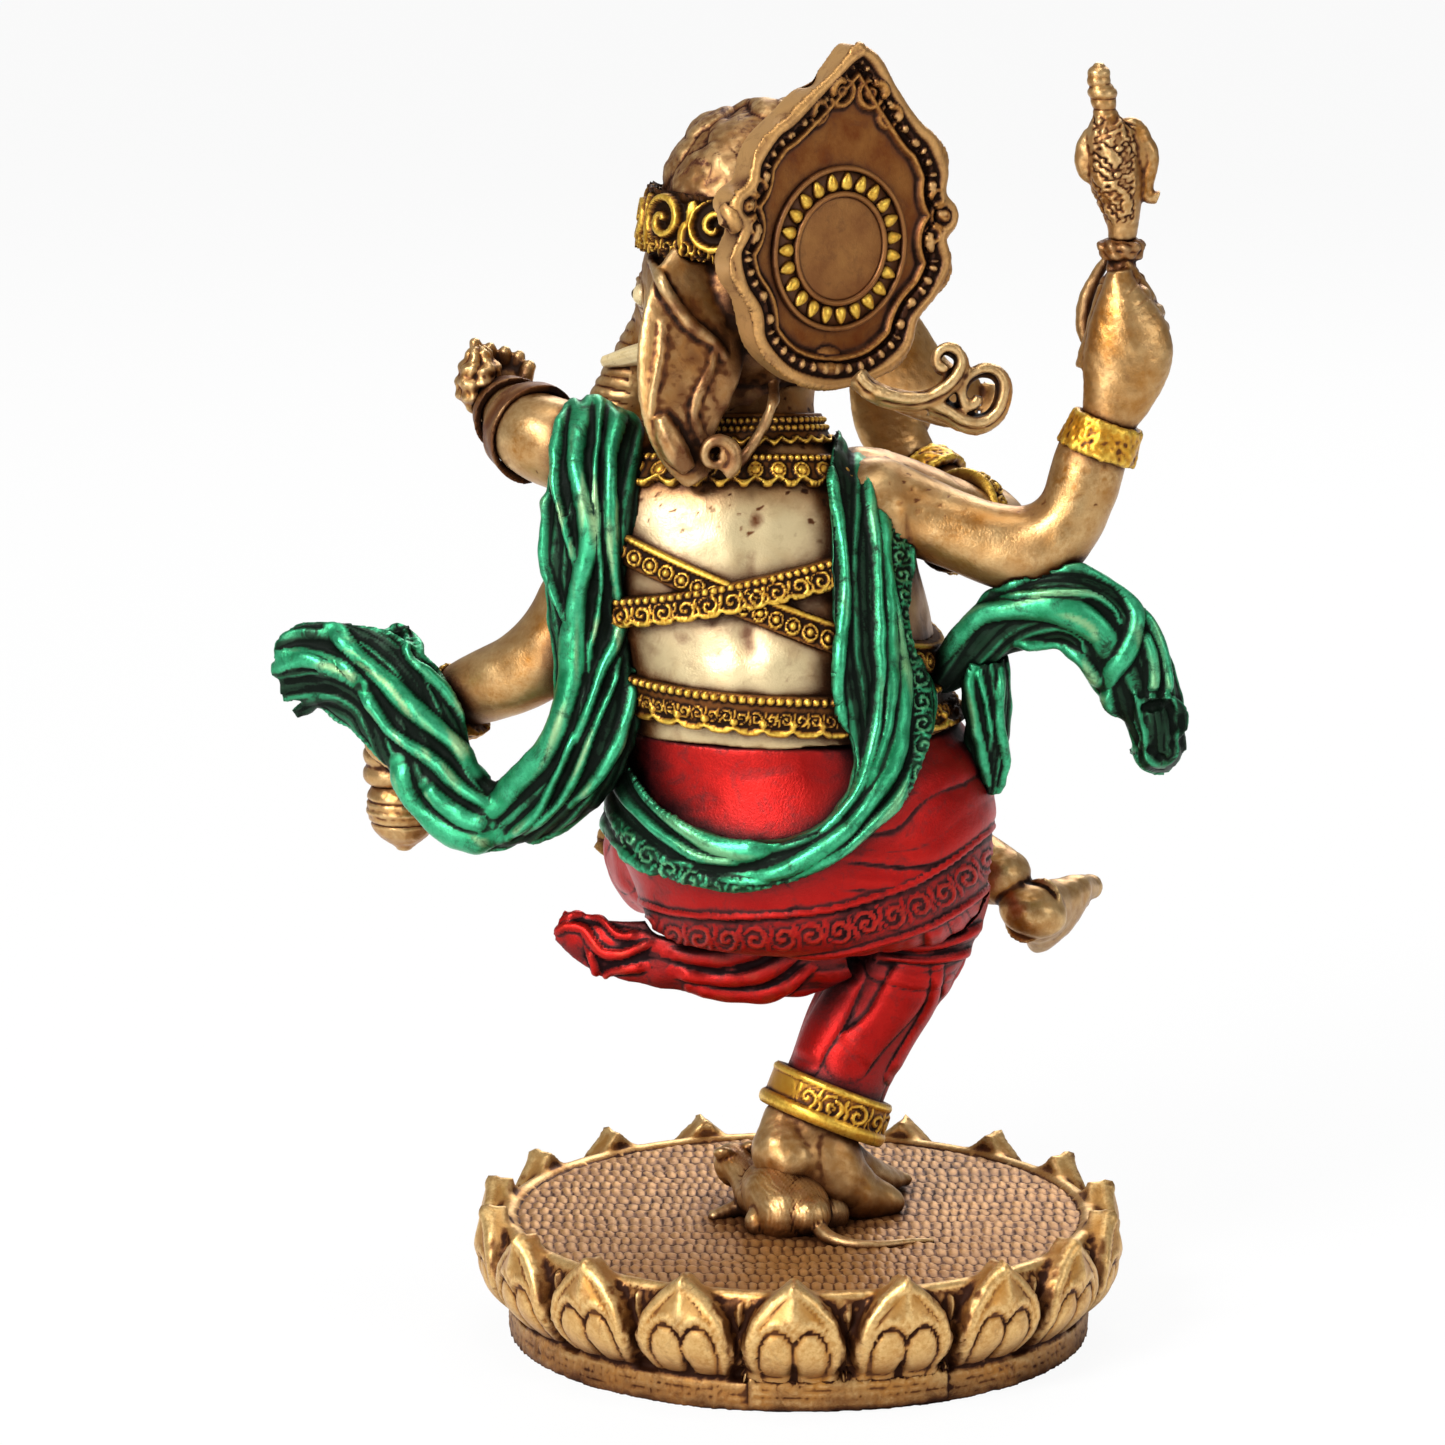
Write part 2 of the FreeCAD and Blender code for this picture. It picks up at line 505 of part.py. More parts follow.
mouse_names = ["mouse_rump", "mouse_haunch", "mouse_back", "mouse_shoulder", "mouse_nape",
               "mouse_skull", "mouse_muzzle"]
mouse_trunk = limb("mouse_trunk", mouse_names, facing=Vector(0, 0, 1))
mouse_seat = ball("mouse_seat", "mouse_rump")
mouse_nose = ball("mouse_nose", "mouse_muzzle")
mouse_bits = []
for side, place in (("left", Vector(-17.0, 5.5, 39.0)), ("right", Vector(-10.5, 9.0, 39.5))):
    ear = doc.addObject("Part::Ellipsoid", f"mouse_ear_{side}")
    ear.Radius1, ear.Radius2, ear.Radius3 = 2.6, 2.4, 1.4
    ear.Placement = Placement(place, Rotation(Vector(1, 0, 0), 60))
    mouse_bits.append(ear)
for side, root, tip in (("left", Vector(-12.0, -2.0, 29.0), Vector(-19.0, -4.5, 27.0)),
                        ("right", Vector(-8.0, 3.0, 29.5), Vector(-5.0, 11.0, 27.4))):
    mouse_bits += digit(f"mouse_paw_{side}", root, tip, 2.2, 1.5)
for side, spot in (("left", Vector(-7.5, -15.0, 29.0)), ("right", Vector(6.5, -10.5, 29.0))):
    haunch = doc.addObject("Part::Ellipsoid", f"mouse_thigh_{side}")
    haunch.Radius1, haunch.Radius2, haunch.Radius3 = 4.4, 3.4, 5.2
    haunch.Placement = Placement(spot, Rotation(Vector(0, 0, 1), -60))
    mouse_bits.append(haunch)
mouse_form = fused("mouse_form", mouse_trunk, mouse_seat, mouse_nose, *mouse_bits)
mouse = keep("mouse_body", seated("mouse_cut", mouse_form, deck_block, armature))
tail_form = limb("tail_form", ["tail_root", "tail_bend", "tail_side", "tail_turn", "tail_end"],
                 facing=Vector(0, 0, 1))
mouse_tail = keep("mouse_tail", seated("tail_cut", tail_form, mouse_form, deck_block))

# ---------------------------------------------------------------- hips and legs

# One loft runs from the hem to the neck; the waist divides it into the dhoti and the torso.
body_names = ["hem_low", "hem_wide", "hips", "hips_high", "waist", "belly", "ribs", "chest",
              "shoulders", "neck_root", "neck", "neck_top"]
up = Vector(0, 0, 1)
body_form = limb("body_form", body_names, first=up, last=up)


def grown_body(name, stand):
    """The body loft standing out by a cell, for what is worn over it."""
    return limb(name, body_names, stand=stand, first=up, last=up)


def half_space(name, low, high):
    """A box that holds everything between two heights."""
    box = doc.addObject("Part::Box", name)
    box.Length, box.Width = 200.0, 200.0
    box.Placement = Placement(Vector(-100, -100, 0), Rotation())
    box.setExpression("Placement.Base.z", low)
    box.setExpression("Height", f"({high}) - ({low})")
    return box


hip_form = shared("hip_form", body_form, half_space("below_waist", "40", "Sizes.waist_z"))
leg_names = ["standing_hip", "standing_thigh", "standing_knee", "standing_calf", "standing_hem"]
leg_form = limb("leg_form", leg_names)
leg_grown = limb("leg_grown", leg_names, stand="cuff_stand")
dhoti = keep("dhoti", hip_form)
standing_leg = keep("standing_leg", seated("leg_cut", leg_form, dhoti, armature))

leg_way = centre("standing_calf") - centre("standing_hem")
leg_way.normalize()
cuff_middle = centre("standing_hem") + leg_way * (size("cuff_width") / 2)
cuff = keep("standing_anklet", band("cuff", leg_grown, cuff_middle, "cuff_width", leg_way, leg_form,
                                    reach=30.0))

ankle = limb("ankle", ["ankle_top", "ankle_low"])
heel = ball("heel", "heel_back")
ankle_ball = ball("ankle_ball", "ankle_low")
sole = limb("sole", ["heel_back", "foot_arch", "foot_ball", "foot_end"], facing=up)
toes = []
toe_way = (centre("foot_end") - centre("foot_ball")).normalize()
toe_side = toe_way.cross(up).normalize()
for i, (across, ahead, thick) in enumerate(((-6.4, 3.4, 2.6), (-2.6, 4.6, 2.0), (0.8, 4.2, 1.9),
                                            (3.9, 3.2, 1.8), (6.6, 1.8, 1.6))):
    root = centre("foot_end") + toe_side * across - toe_way * 2
    toes += digit(f"toe_{i}", root, root + toe_way * (ahead + 2), thick, thick)
foot_form = fused("foot_form", ankle, ankle_ball, heel, sole, *toes)
standing_foot = keep("standing_foot", seated("foot_cut", foot_form, leg_form, cuff, mouse_form,
                                             deck_block, armature))

raised_names = ["raised_hip", "raised_thigh", "raised_knee", "raised_shin", "raised_calf", "raised_hem"]
raised_form = limb("raised_form", raised_names, facing=up)
raised_grown = limb("raised_grown", ["raised_calf", "raised_hem"], facing=up, stand="anklet_stand",
                    first=centre("raised_hem") - centre("raised_shin"))
raised_leg = keep("raised_leg", seated("raised_cut", raised_form, dhoti, standing_leg))
raised_way = (centre("raised_hem") - centre("raised_calf")).normalize()
anklet_middle = centre("raised_hem") - raised_way * (size("anklet_width") / 2)
raised_anklet = keep("raised_anklet", band("anklet", raised_grown, anklet_middle, "anklet_width",
                                           raised_way, raised_form, reach=30.0))
raised_shaft = limb("raised_shaft", ["raised_hem", "raised_ankle"], facing=up)
raised_bone = ball("raised_bone", "raised_ankle")
raised_heel = ball("raised_back", "raised_heel", turn=Rotation(Vector(0, 1, 0), 20))
sole_facing = Vector(0.73, -0.41, -0.53)
raised_sole = limb("raised_sole", ["raised_heel", "raised_arch", "raised_ball", "raised_toes"],
                   facing=sole_facing)
raised_digits = []
raised_ahead = (centre("raised_toes") - centre("raised_ball")).normalize()
raised_across = raised_ahead.cross(sole_facing).normalize()
for i, (across, ahead, thick) in enumerate(((-7.8, 4.2, 2.8), (-3.4, 5.0, 2.2), (0.6, 4.6, 2.0),
                                            (4.2, 3.8, 1.9), (7.6, 2.6, 1.8))):
    root = centre("raised_toes") + raised_across * across - raised_ahead * 2
    raised_digits += digit(f"raised_toe_{i}", root, root + raised_ahead * (ahead + 2), thick, thick)
raised_foot_form = fused("raised_foot_form", raised_shaft, raised_bone, raised_heel, raised_sole,
                         *raised_digits)
raised_foot = keep("raised_foot", seated("raised_foot_cut", raised_foot_form, raised_form,
                                         raised_anklet))

# ---------------------------------------------------------------- torso and arms

torso_form = shared("torso_form", body_form, half_space("above_waist", "Sizes.waist_z", "300"))
torso_belt = grown_body("torso_belt", "belt_stand")
torso_strap = grown_body("torso_strap", "strap_stand")
torso_lace = grown_body("torso_lace", "necklace_stand")
torso_cross = grown_body("torso_cross", "cross_stand")
torso_scarf = grown_body("torso_scarf", "scarf_stand")
torso = keep("torso", torso_form)

ARMS = {
    "rear_right": ["rr_shoulder", "rr_upper", "rr_elbow", "rr_forearm", "rr_wrist"],
    "front_right": ["fr_shoulder", "fr_upper", "fr_elbow", "fr_forearm", "fr_wrist"],
    "rear_left": ["rl_shoulder", "rl_upper", "rl_elbow", "rl_forearm", "rl_wrist"],
    "front_left": ["fl_shoulder", "fl_upper", "fl_elbow", "fl_forearm", "fl_wrist"],
}
arm_forms, arms = {}, {}
for arm, names in ARMS.items():
    side = Vector(0, 1, 0) if arm != "front_right" else Vector(0, 0, 1)
    arm_forms[arm] = limb(arm + "_form", names, facing=side)
arms["rear_right"] = seated("rear_right_cut", arm_forms["rear_right"], torso)
arms["front_right"] = seated("front_right_cut", arm_forms["front_right"], torso, arm_forms["rear_right"])
arms["rear_left"] = seated("rear_left_cut", arm_forms["rear_left"], torso)
arms["front_left"] = seated("front_left_cut", arm_forms["front_left"], torso, arm_forms["rear_left"])
for arm, thing in arms.items():
    keep(arm + "_arm", thing)


def worn(label, arm, low, high, share, stand, width):
    """An ornament round an arm, part of the way from one station to the next."""
    names = ARMS[arm]
    ways = directions(names)
    i = names.index(low)
    side = Vector(0, 1, 0) if arm != "front_right" else Vector(0, 0, 1)
    grown = limb(label + "_grown", [low, high], facing=side, stand=stand, first=ways[i],
                 last=ways[i + 1])
    way = (centre(high) - centre(low)).normalize()
    return keep(label, band(label, grown, between(low, high, share), width, way, arm_forms[arm],
                            reach=26.0))


bangles = [
    worn("rear_right_bangle", "rear_right", "rr_forearm", "rr_wrist", 0.80, "bangle_stand",
         "bangle_width"),
    worn("front_right_bangle", "front_right", "fr_forearm", "fr_wrist", 0.70, "bangle_stand",
         "armlet_width"),
    worn("rear_left_bangle", "rear_left", "rl_forearm", "rl_wrist", 0.66, "bangle_stand",
         "armlet_width"),
    worn("front_left_bangle", "front_left", "fl_forearm", "fl_wrist", 0.76, "bangle_stand",
         "armlet_width"),
]
armlets = [
    worn("front_right_armlet", "front_right", "fr_upper", "fr_elbow", 0.42, "armlet_stand",
         "armlet_width"),
    worn("rear_left_armlet", "rear_left", "rl_elbow", "rl_forearm", 0.3, "armlet_stand",
         "armlet_width"),
]

# ---------------------------------------------------------------- what is worn on the torso

def tilted(angle_name, sign_x, sign_y=0.0):
    """An upright direction leaned over by a cell's angle."""
    lean = math.tan(math.radians(size(angle_name)))
    return Vector(sign_x * lean, sign_y * lean, 1).normalize()


arm_hosts = list(arm_forms.values())
belt_middle = Vector(-5.5, 4.0, size("belt_height"))
waist_belt = keep("waist_belt", band("belt", torso_belt, belt_middle, "belt_width",
                                     tilted("belt_tilt", 1), torso_form))
strap_middle = Vector(-9.5, 4.0, size("strap_height"))
chest_strap = keep("chest_strap", band("strap", torso_strap, strap_middle, "strap_width",
                                       tilted("strap_tilt", 1), torso_form, *arm_hosts))
cross_middle = Vector(-9.5, 4.0, size("cross_height"))
cross_strap = keep("cross_strap", band("cross", torso_cross, cross_middle, "strap_width",
                                       tilted("cross_tilt", -1), torso_form, chest_strap, *arm_hosts))
necklace_middle = Vector(-11.0, 2.0, size("necklace_height"))
necklace = keep("necklace", band("lace", torso_lace, necklace_middle, "necklace_width",
                                 tilted("necklace_tilt", 0, 1), torso_form, *arm_hosts))
collar_middle = Vector(-10.5, 4.0, size("necklace_height") + 8.5)
collar = keep("collar", band("ruff", torso_strap, collar_middle, "collar_width",
                             tilted("necklace_tilt", 0, 1), torso_form, necklace))

# ---------------------------------------------------------------- head, trunk, ears and tusks

head_turn = Rotation(Vector(0, 0, 1), size("head_turn")).multiply(
    Rotation(Vector(0, 1, 0), size("head_lean")))
head_place = Placement(Vector(size("head_x"), size("head_y"), size("head_z")), head_turn)


def on_head(thing):
    """Set a form made in the head's own frame in its place on the figure."""
    thing.Placement = head_place.multiply(thing.Placement)
    for axis in "xyz":
        if thing.Placement.Base.distanceToPoint(head_place.Base) < 1e-9:
            thing.setExpression(f"Placement.Base.{axis}", f"Sizes.head_{axis}")
    return thing


facing_up = Vector(0, 0, 1)
skull = on_head(limb("skull", ["skull_back", "skull_rear", "skull_wide", "brow", "cheeks",
                               "skull_front"], facing=facing_up, first=Vector(0, 1, 0)))
back_ball = on_head(ball("back_ball", "skull_back", turn=Rotation()))
root_ball = on_head(ball("root_ball", "skull_front", turn=Rotation()))
head_form = fused("head_form", skull, back_ball, root_ball)
head = keep("head", seated("head_cut", head_form, torso_form))
trunk_form = on_head(limb("trunk_form", ["trunk_start", "trunk_root", "trunk_high", "trunk_mid", "trunk_low",
                                         "trunk_bend", "trunk_curl", "trunk_tip", "trunk_lip"],
                          facing=Vector(0, 1, 0)))
trunk = keep("trunk", seated("trunk_cut", trunk_form, skull, root_ball))

crown_names = ["crown_low", "crown_mid", "crown_high", "crown_top", "crown_tip"]
crown_form = on_head(limb("crown_form", crown_names, first=up, last=up))
crown_grown = on_head(limb("crown_grown", crown_names, stand="band_stand", first=up, last=up))
crown = keep("crown", seated("crown_cut", crown_form, head_form))
band_low = head_place.multVec(centre("crown_low"))
crown_up = head_turn.multVec(up)
crown_band = keep("crown_band", band("crown_ring", crown_grown,
                                     band_low + crown_up * (size("band_height") / 2), "band_height",
                                     crown_up, crown_form, head_form))

tusks = {}
for side, sign in (("left", -1), ("right", 1)):
    root, tip = Vector(sign * 8.0, 22.0, -15.0), Vector(sign * 12.0, 34.0, -19.0)
    if sign > 0:
        tip = root + (tip - root) * 0.6
    bits = [on_head(b) for b in digit(f"{side}_tusk_form", root, tip, 3.0, 1.5)]
    tusks[side] = keep(side + "_tusk", seated(side + "_tusk_cut", fused(side + "_tusk_whole", *bits),
                                              head_form, trunk_form))

# The back plate stands behind the crown: a lobed disc with a raised rim and a round medallion.
plate_side = [(u * size("plate_half_width"), v * size("plate_half_height")) for u, v in PLATE_SIDE]
plate_points = plate_side + [(-u, v) for u, v in reversed(plate_side[1:])]
rim_u = 1 - size("plate_rim") / size("plate_half_width")
rim_v = 1 - size("plate_rim") / size("plate_half_height")
panel_points = [(u * rim_u, v * rim_v) for u, v in plate_points]
to_back = Rotation(Vector(1, 0, 0), 90)


def on_plate(depth, up_by=0.0):
    """A placement on the back plate, a depth behind its front face, looking out of its back."""
    away = size("plate_back") - size("plate_thickness") / 2 + depth
    spot = Vector(size("plate_right"), -away, size("plate_up") + up_by)
    return head_place.multiply(Placement(spot, to_back))


plate_block = block("plate_block", outline("plate_outline", plate_points, on_plate(0)),
                    "Sizes.plate_thickness")
panel_floor = size("plate_thickness") - size("plate_recess")
panel_cut = block("panel_cut", outline("panel_outline", panel_points, on_plate(panel_floor)),
                  "Sizes.plate_recess + 2")
plate_form = seated("plate_form", plate_block, panel_cut)
crown_plate = keep("crown_plate", seated("plate_cut", plate_form, crown_grown, head_form, torso_form))

disc_place = on_plate(panel_floor, -size("medallion_drop"))
disc = cylinder("disc", "Sizes.medallion_radius", "Sizes.medallion_stand", disc_place)
groove = cylinder("groove", "Sizes.medallion_radius - Sizes.medallion_ring", "Sizes.medallion_stand",
                  disc_place.multiply(Placement(Vector(0, 0, 0.5), Rotation())))
hub = cylinder("hub", "Sizes.medallion_disc", "Sizes.medallion_stand", disc_place)
drops = []
for i in range(int(size("drop_count"))):
    angle = i * 360 / size("drop_count")
    spin = Placement(Vector(0, 0, 0), Rotation(Vector(0, 0, 1), angle))
    middle = (size("medallion_radius") - size("medallion_ring") + size("medallion_disc")) / 2
    drop = doc.addObject("Part::Ellipsoid", f"drop_{i}")
    drop.setExpression("Radius1", "Sizes.medallion_stand * 0.9")
    drop.setExpression("Radius2", "Sizes.drop_length / 2")
    drop.setExpression("Radius3", "Sizes.drop_width / 2")
    drop.Placement = disc_place.multiply(spin).multiply(Placement(Vector(middle, 0, 0.4), Rotation()))
    drops.append(drop)
ring_form = seated("ring_form", disc, groove)
medallion_form = gathered("medallion_form", ring_form, hub, *drops)
floor_block = block("floor_block", outline("floor_outline", panel_points, on_plate(0)),
                    "Sizes.plate_thickness - Sizes.plate_recess")
medallion = keep("plate_medallion", seated("medallion_cut", medallion_form, floor_block))

ears = {}
for side, sign in (("left", -1), ("right", 1)):
    names = [f"{side}_ear_{n}" for n in ("top", "wide", "low", "tip", "curl")]
    flap = on_head(limb(side + "_ear_form", names, facing=Vector(sign * 0.35, -0.93, 0.0)))
    ears[side] = keep(side + "_ear", seated(side + "_ear_cut", flap,
                                            head_form, crown_grown, plate_form, torso_form, necklace,
                                            collar, *arm_hosts))

# ---------------------------------------------------------------- hands and what they hold

def knuckles(name, middle, axis_up, count, pitch, radius, thick):
    """Fingers curled round a shaft: a row of rings along it."""
    rings = []
    turn = Rotation(Vector(0, 0, 1), axis_up)
    for i in range(count):
        ring = doc.addObject("Part::Torus", f"{name}_{i}")
        ring.Radius1, ring.Radius2 = radius, thick
        ring.Placement = Placement(middle + axis_up * ((i - (count - 1) / 2) * pitch), turn)
        rings.append(ring)
    return rings


shaft_y = -3.0
rod_low_end = Vector(70.9, shaft_y, 213.5)
shaft = cylinder("shaft", "Sizes.shaft_radius", "25", Placement(rod_low_end, Rotation()))
neck_rows = [("Sizes.shaft_radius", "237.5"), ("Sizes.shaft_radius + 1.7", "239.5"),
             ("Sizes.shaft_radius + 0.3", "242"), ("Sizes.shaft_radius + 1.8", "245"),
             ("Sizes.shaft_radius + 0.8", "248")]
shaft_neck = circles("shaft_neck", neck_rows, [70.6, 70.4, 70.2, 70.0, 69.9], shaft_y)
goad_rows = [("Sizes.shaft_radius + 0.4", "248 + Sizes.head_gap"), ("Sizes.shaft_radius + 1.0", "252"),
             ("Sizes.shaft_radius + 2.4", "257"), ("Sizes.shaft_radius + 3.4", "262.5"),
             ("Sizes.shaft_radius + 3.2", "268"), ("Sizes.shaft_radius + 2.0", "273"),
             ("Sizes.shaft_radius - 0.2", "277"), ("Sizes.shaft_radius + 0.3", "280"),
             ("Sizes.shaft_radius - 0.6", "282.2")]
goad_lean = [70.2, 70.2, 69.4, 68.5, 67.9, 67.1, 66.0, 65.6, 65.2]
goad_bulb = circles("goad_bulb", goad_rows, goad_lean, shaft_y)
hook = limb("hook", ["hook_root", "hook_out", "hook_down", "hook_end", "hook_tip"])
blades = []
blade_spots = (("left", Vector(64.0, shaft_y, 267.0), 8), ("right", Vector(72.4, shaft_y, 268.5), -8))
for side, spot, tilt in blade_spots:
    blade = doc.addObject("Part::Ellipsoid", f"{side}_blade")
    blade.Radius1, blade.Radius2, blade.Radius3 = 6.6, 4.4, 2.6
    blade.Placement = Placement(spot, Rotation(Vector(0, 1, 0), tilt))
    blades.append(blade)
finial = doc.addObject("Part::Ellipsoid", "finial")
finial.Radius1, finial.Radius2, finial.Radius3 = 3.1, 2.4, 2.4
finial.Placement = Placement(Vector(64.7, shaft_y, 283.8), Rotation())
pin = cylinder("pin", "Sizes.pin_radius", "8", Placement(Vector(69.9, shaft_y, 244), Rotation()))
goad_pin = keep("goad_pin", pin)
handle_form = fused("handle_form", shaft, shaft_neck)
goad_handle = keep("goad_handle", seated("handle_cut", handle_form, pin))
goad_head = keep("goad_head", seated("goad_cut", fused("goad_whole", goad_bulb, hook, *blades, finial), pin))

hands = {}
rr_hand = limb("rr_hand", ["rr_wrist", "rr_palm", "rr_knuckles", "rr_grip", "rr_finger_tip"],
               facing=Vector(0, 1, 0))
rr_fingers = knuckles("rr_finger", Vector(70.9, shaft_y, 226.5), up, 4, 4.5, 4.6, 2.4)
rr_thumb = digit("rr_thumb", Vector(62.8, -6.5, 220.0), Vector(66.6, -4.0, 237.0), 3.0, 2.0)
rr_bumps = []
for i, spot in enumerate((Vector(74.0, -6.5, 236.0), Vector(76.6, -6.5, 231.5), Vector(78.6, -6.5, 225.5))):
    bump = doc.addObject("Part::Sphere", f"rr_bump_{i}")
    bump.Radius = 2.6
    bump.Placement = Placement(spot, Rotation())
    rr_bumps.append(bump)
hands["rear_right"] = (fused("rr_whole", rr_hand, *rr_fingers, *rr_thumb, *rr_bumps),
                       [shaft, shaft_neck])

fr_hand = limb("fr_hand", ["fr_wrist", "fr_palm", "fr_fingers"], facing=Vector(0, 1, 0))
fr_digits = digit("fr_thumb", Vector(26.5, 58.5, 194.0), Vector(31.0, 61.0, 202.0), 2.4, 1.7)
for i in range(4):
    root = Vector(14.2 + 3.2 * i, 60.4, 201.5)
    reach = Vector(-1.6 + 0.4 * i, 1.6, 12.0 - abs(i - 1.6) * 1.6)
    fr_digits += digit(f"fr_finger_{i}", root, root + reach, 2.1, 1.5)
hands["front_right"] = (fused("fr_whole", fr_hand, *fr_digits), [])

bud_rows = [("Sizes.bud_radius * 0.4", "206"), ("Sizes.bud_radius * 0.9", "209"),
            ("Sizes.bud_radius", "212.5"), ("Sizes.bud_radius * 0.72", "217"),
            ("Sizes.bud_radius * 0.25", "220.5")]
bud = circles("bud", bud_rows, -71.5, 24.0)
lotus_bud = keep("lotus_bud", seated("bud_cut", bud, arm_forms["rear_left"],
                                     PARTS["rear_left_bangle"], PARTS["rear_left_armlet"]))
rl_hand = limb("rl_hand", ["rl_wrist", "rl_palm", "rl_fingers"], facing=Vector(0, 1, 0))
rl_digits = digit("rl_thumb", Vector(-62.5, 28.0, 208.0), Vector(-60.5, 28.5, 215.0), 2.2, 1.6)
for i in range(4):
    root = Vector(-71.0 + 2.3 * i, 32.0, 211.0)
    tip = root + Vector(-1.6 + 1.0 * i, -1.5, 9.0 - 1.0 * i)
    rl_digits += digit(f"rl_finger_{i}", root, tip, 2.0, 1.4)
hands["rear_left"] = (fused("rl_whole", rl_hand, *rl_digits), [bud])

pot_rows = [("2.4", "132"), ("3.2", "125"), ("Sizes.pot_radius * 0.55", "122"),
            ("Sizes.pot_radius * 0.92", "119"), ("Sizes.pot_radius", "114.5"),
            ("Sizes.pot_radius * 0.84", "110"), ("Sizes.pot_radius * 0.4", "107"),
            ("1.6", "105.5")]
pot_lean = [-91.5, -91.0, -90.6, -90.2, -89.8, -89.4, -89.2, -89.1]
pot = circles("pot", pot_rows, pot_lean, 22.0)
sweet_pot = keep("sweet_pot", pot)
fl_hand = limb("fl_hand", ["fl_wrist", "fl_palm", "fl_knuckles"], facing=Vector(0, 1, 0))
fl_fingers = knuckles("fl_finger", Vector(-91.2, 22.0, 127.5), up, 3, 4.2, 4.7, 2.5)
fl_thumb = digit("fl_thumb", Vector(-86.0, 18.0, 129.0), Vector(-84.4, 20.5, 120.5), 2.8, 2.0)
hands["front_left"] = (fused("fl_whole", fl_hand, *fl_fingers, *fl_thumb), [pot])

for arm, (whole, holds) in hands.items():
    keep(arm + "_hand", seated(arm + "_hand_cut", whole, arm_forms[arm], PARTS[arm + "_bangle"],
                               *holds))

# ---------------------------------------------------------------- scarf and sashes

scarf_face = Placement(Vector(0, 6.0, 0), Rotation(Vector(1, 0, 0), 90))
scarf_curve = outline("scarf_outline", SCARF, scarf_face)
scarf_block = doc.addObject("Part::Extrusion", "scarf_block")
scarf_block.Base = scarf_curve
scarf_block.DirMode = "Normal"
scarf_block.Solid = True
scarf_block.LengthFwd = 70.0
scarf_skin = shared("scarf_skin", torso_scarf, scarf_block)
worn_hosts = [waist_belt, chest_strap, cross_strap, necklace]
scarf_back = keep("scarf_back", seated("scarf_cut", scarf_skin, body_form, *worn_hosts,
                                       *arm_hosts[:2]))
cloth_names = ["column_top", "column_shoulder", "column_high", "column_mid", "column_low",
               "column_foot", "fly_low", "fly_turn", "fly_rise", "fly_high", "fly_end", "fly_tip"]
cloth = limb("cloth", cloth_names, facing=Vector(0, 1, 0))
scarf_left = keep("scarf_left", seated("cloth_cut", cloth, body_form, scarf_back, *worn_hosts,
                                       *arm_hosts[2:], ears["left"], PARTS["front_left_bangle"],
                                       hands["front_left"][0], pot))
drape = limb("drape", ["drape_root", "drape_rise", "drape_top", "drape_fall", "drape_low",
                       "drape_end"], facing=Vector(0, 1, 0))
scarf_right = keep("scarf_right_drape", seated("drape_cut", drape, scarf_back, body_form,
                                               *worn_hosts[:3], *arm_hosts[:2]))
hang = limb("hang", ["hang_root", "hang_mid", "hang_end"], facing=Vector(0, 1, 0))
scarf_hang = keep("scarf_right_hang", seated("hang_cut", hang, scarf_right, scarf_back, body_form))
skirt = limb("skirt", ["skirt_root", "skirt_low", "skirt_mid", "skirt_wave", "skirt_end"],
             facing=Vector(0, 1, 0))
dhoti_tail = keep("dhoti_tail", seated("skirt_cut", skirt, hip_form, leg_form, raised_form))
sash = limb("sash", ["sash_root", "sash_mid", "sash_end"], facing=Vector(0.5, 0.86, 0))
front_sash = keep("front_sash", seated("sash_cut", sash, hip_form, raised_form, torso_form))

# ---------------------------------------------------------------- write the files

check()
os.makedirs("parts", exist_ok=True)
for label, thing in PARTS.items():
    if thing.Shape.isNull() or not thing.Shape.isValid():
        raise RuntimeError("bad shape: " + label)
    thing.Shape.exportStep(f"parts/{label}.step")
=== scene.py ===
import math
import bmesh
import bpy
import numpy as np
from mathutils import Matrix, Vector
from mathutils.bvhtree import BVHTree


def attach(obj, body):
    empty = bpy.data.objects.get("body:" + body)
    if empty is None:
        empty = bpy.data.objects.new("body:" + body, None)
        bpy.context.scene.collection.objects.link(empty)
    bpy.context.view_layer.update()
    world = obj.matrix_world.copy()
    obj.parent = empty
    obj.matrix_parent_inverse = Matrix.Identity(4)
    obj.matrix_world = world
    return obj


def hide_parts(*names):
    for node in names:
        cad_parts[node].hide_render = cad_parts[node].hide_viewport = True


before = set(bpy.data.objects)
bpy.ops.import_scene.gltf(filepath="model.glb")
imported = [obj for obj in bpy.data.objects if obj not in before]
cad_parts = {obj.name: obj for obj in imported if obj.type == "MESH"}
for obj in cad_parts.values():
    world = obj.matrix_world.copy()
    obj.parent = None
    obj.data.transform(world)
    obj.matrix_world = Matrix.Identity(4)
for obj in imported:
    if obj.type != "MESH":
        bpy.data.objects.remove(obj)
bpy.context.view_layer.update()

# ---------------------------------------------------------------- room, light and camera
# A pale studio table under five large soft lamps. The floor and the room are white where they are
# looked at directly, and plain grey-white to everything they light.


def linear(hex_colour):
    """An sRGB hex colour as linear red, green, blue and alpha."""
    parts = [int(hex_colour[i:i + 2], 16) / 255 for i in (1, 3, 5)]
    return [p / 12.92 if p <= 0.04045 else ((p + 0.055) / 1.055) ** 2.4 for p in parts] + [1.0]


def add(tree, kind, inputs=(), **settings):
    """Adds one shader node with its settings, and sets or links its inputs."""
    made = tree.nodes.new("ShaderNode" + kind)
    for key, value in settings.items():
        setattr(made, key, value)
    for socket, value in dict(inputs).items():
        if isinstance(value, bpy.types.NodeSocket):
            tree.links.new(value, made.inputs[socket])
        else:
            made.inputs[socket].default_value = value
    return made


